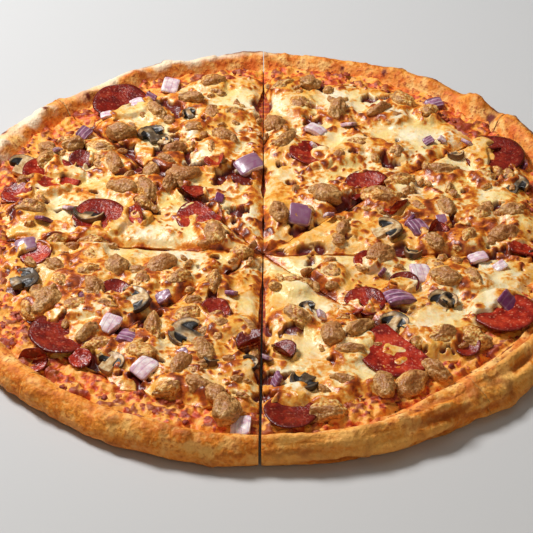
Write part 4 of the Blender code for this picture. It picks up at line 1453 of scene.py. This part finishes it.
def onion_material():
    made, tree, shader, place = new_material("red_onion", 0.28)
    fine = speckle(tree, place, 0.003)
    colour = ramp(tree, fine, (0.34, "D6A9B8"), (0.62, "F6E8E6"))
    turns = {"operation": "MULTIPLY", 1: STRIPE_TURNS}
    turned = add_node(tree, "ShaderNodeMath", turns, {0: painted(tree, "across")}).outputs[0]
    stripes = add_node(tree, "ShaderNodeMath", {"operation": "SINE"}, {0: turned}).outputs[0]
    colour = tint(tree, colour, stripes, (0.80, 1.0), (0.0, 0.38), "96496F")
    purple = ramp(tree, fine, (0.36, "54183F"), (0.52, "7C2E60"), (0.66, "A8668C"))
    purple = tint(tree, purple, stripes, (0.55, 1.0), (0.0, 0.55), "E9CFD9")
    colour = tint(tree, colour, "shade", (0.50, 0.58), (0.0, 0.88), purple)
    colour = tint(tree, colour, "skin", (0.25, 1.0), (0.0, 0.80), "74285A")
    finish_shader(tree, shader, colour, fine, 0.35, 0.0004)
    let_light_in(shader, 0.20, 0.0018)
    return made


onion_finish = onion_material()
for order, (x, y, width, bearing) in enumerate(ONIONS):
    piece = onion_square(order, width * MM)
    piece.name = f"onion_square_{order + 1}"
    tilt = Matrix.Rotation(math.radians(bearing), 4, "Z") @ lean_of(ONION_LEAN, 45)
    lay(piece, x, y, width, ONION_LIFT, tilt)
    finish_piece(piece, (onion_finish,), (f"onion_{order + 1}",))
bits = []
for order, (x, y, width, bearing) in enumerate(SMALL_ONIONS):
    bit = onion_square(order + 30, width * MM, ONION_BIT_LAYER)
    tilt = Matrix.Rotation(math.radians(bearing), 4, "Z") @ lean_of(10 + 13 * (order % 5), 70 * order)
    lay(bit, x, y, width, ONION_BIT_LIFT, tilt)
    bits.append(bit)
bits = join("onion_bits", bits)
finish_piece(bits, (onion_finish,))
print("onion squares:", len(ONIONS), "and bits:", len(SMALL_ONIONS))

# %% [markdown]
# ## Baked bits along the edge
#
# Drops of sauce and shreds of meat dried to dark red crumbs along the edge of the cheese and at the
# foot of the rim. They are tiny, so each crumb has only a few dozen faces.

# %% Baked bits
EDGE_BIT_COUNT = 200
EDGE_BIT_SIZES = (0.0006, 0.0018)
EDGE_BIT_HEIGHT_SHARE = 0.45
EDGE_BIT_BAND = (-0.004, 0.015)
CLEAR_OF_CUTS = 0.002


def tiny_crumb(order, place, size, flat):
    """One rough, flattened crumb at its place."""
    bpy.ops.mesh.primitive_ico_sphere_add(subdivisions=2, radius=size)
    crumb = bpy.context.object
    points = read_points(crumb)
    points *= (1 + 0.9 * rough(points / size + 2.3 * order, 0.7, 71))[:, None]
    points[:, 2] *= flat
    write_points(crumb, points + np.array(place))
    return crumb


def edge_bit_material():
    made, tree, shader, place = new_material("dried_sauce_bits", 0.65)
    fine = speckle(tree, place, 0.004)
    colour = ramp(tree, fine, (0.34, "64180D"), (0.50, "983016"), (0.64, "C8662C"))
    finish_shader(tree, shader, colour, fine, 0.5, 0.0004)
    return made


edge_bits = []
for order in range(EDGE_BIT_COUNT):
    turn = draw.uniform(0.0, math.tau)
    edge = foot_radius(*one_place(math.cos(turn), math.sin(turn)))[0] - CHEESE_EDGE
    out = edge + draw.uniform(*EDGE_BIT_BAND)
    x, y = out * math.cos(turn), out * math.sin(turn)
    number = slice_of(x, y)
    if inside_cuts(number, *one_place(x, y))[0] < CLEAR_OF_CUTS:
        continue
    height = sauce_surface(*one_place(x, y))[0][0] - 0.0001
    height = max(height, CHEESE_TOP - 0.001) if out < edge else height
    size = draw.uniform(*EDGE_BIT_SIZES)
    bit = tiny_crumb(order, (x, y, height), size, EDGE_BIT_HEIGHT_SHARE)
    bit.data.transform(slice_move(number))
    edge_bits.append(bit)
edge_bits = join("edge_bits", edge_bits)
finish_piece(edge_bits, (edge_bit_material(),))
print("edge bits faces:", len(edge_bits.data.polygons))
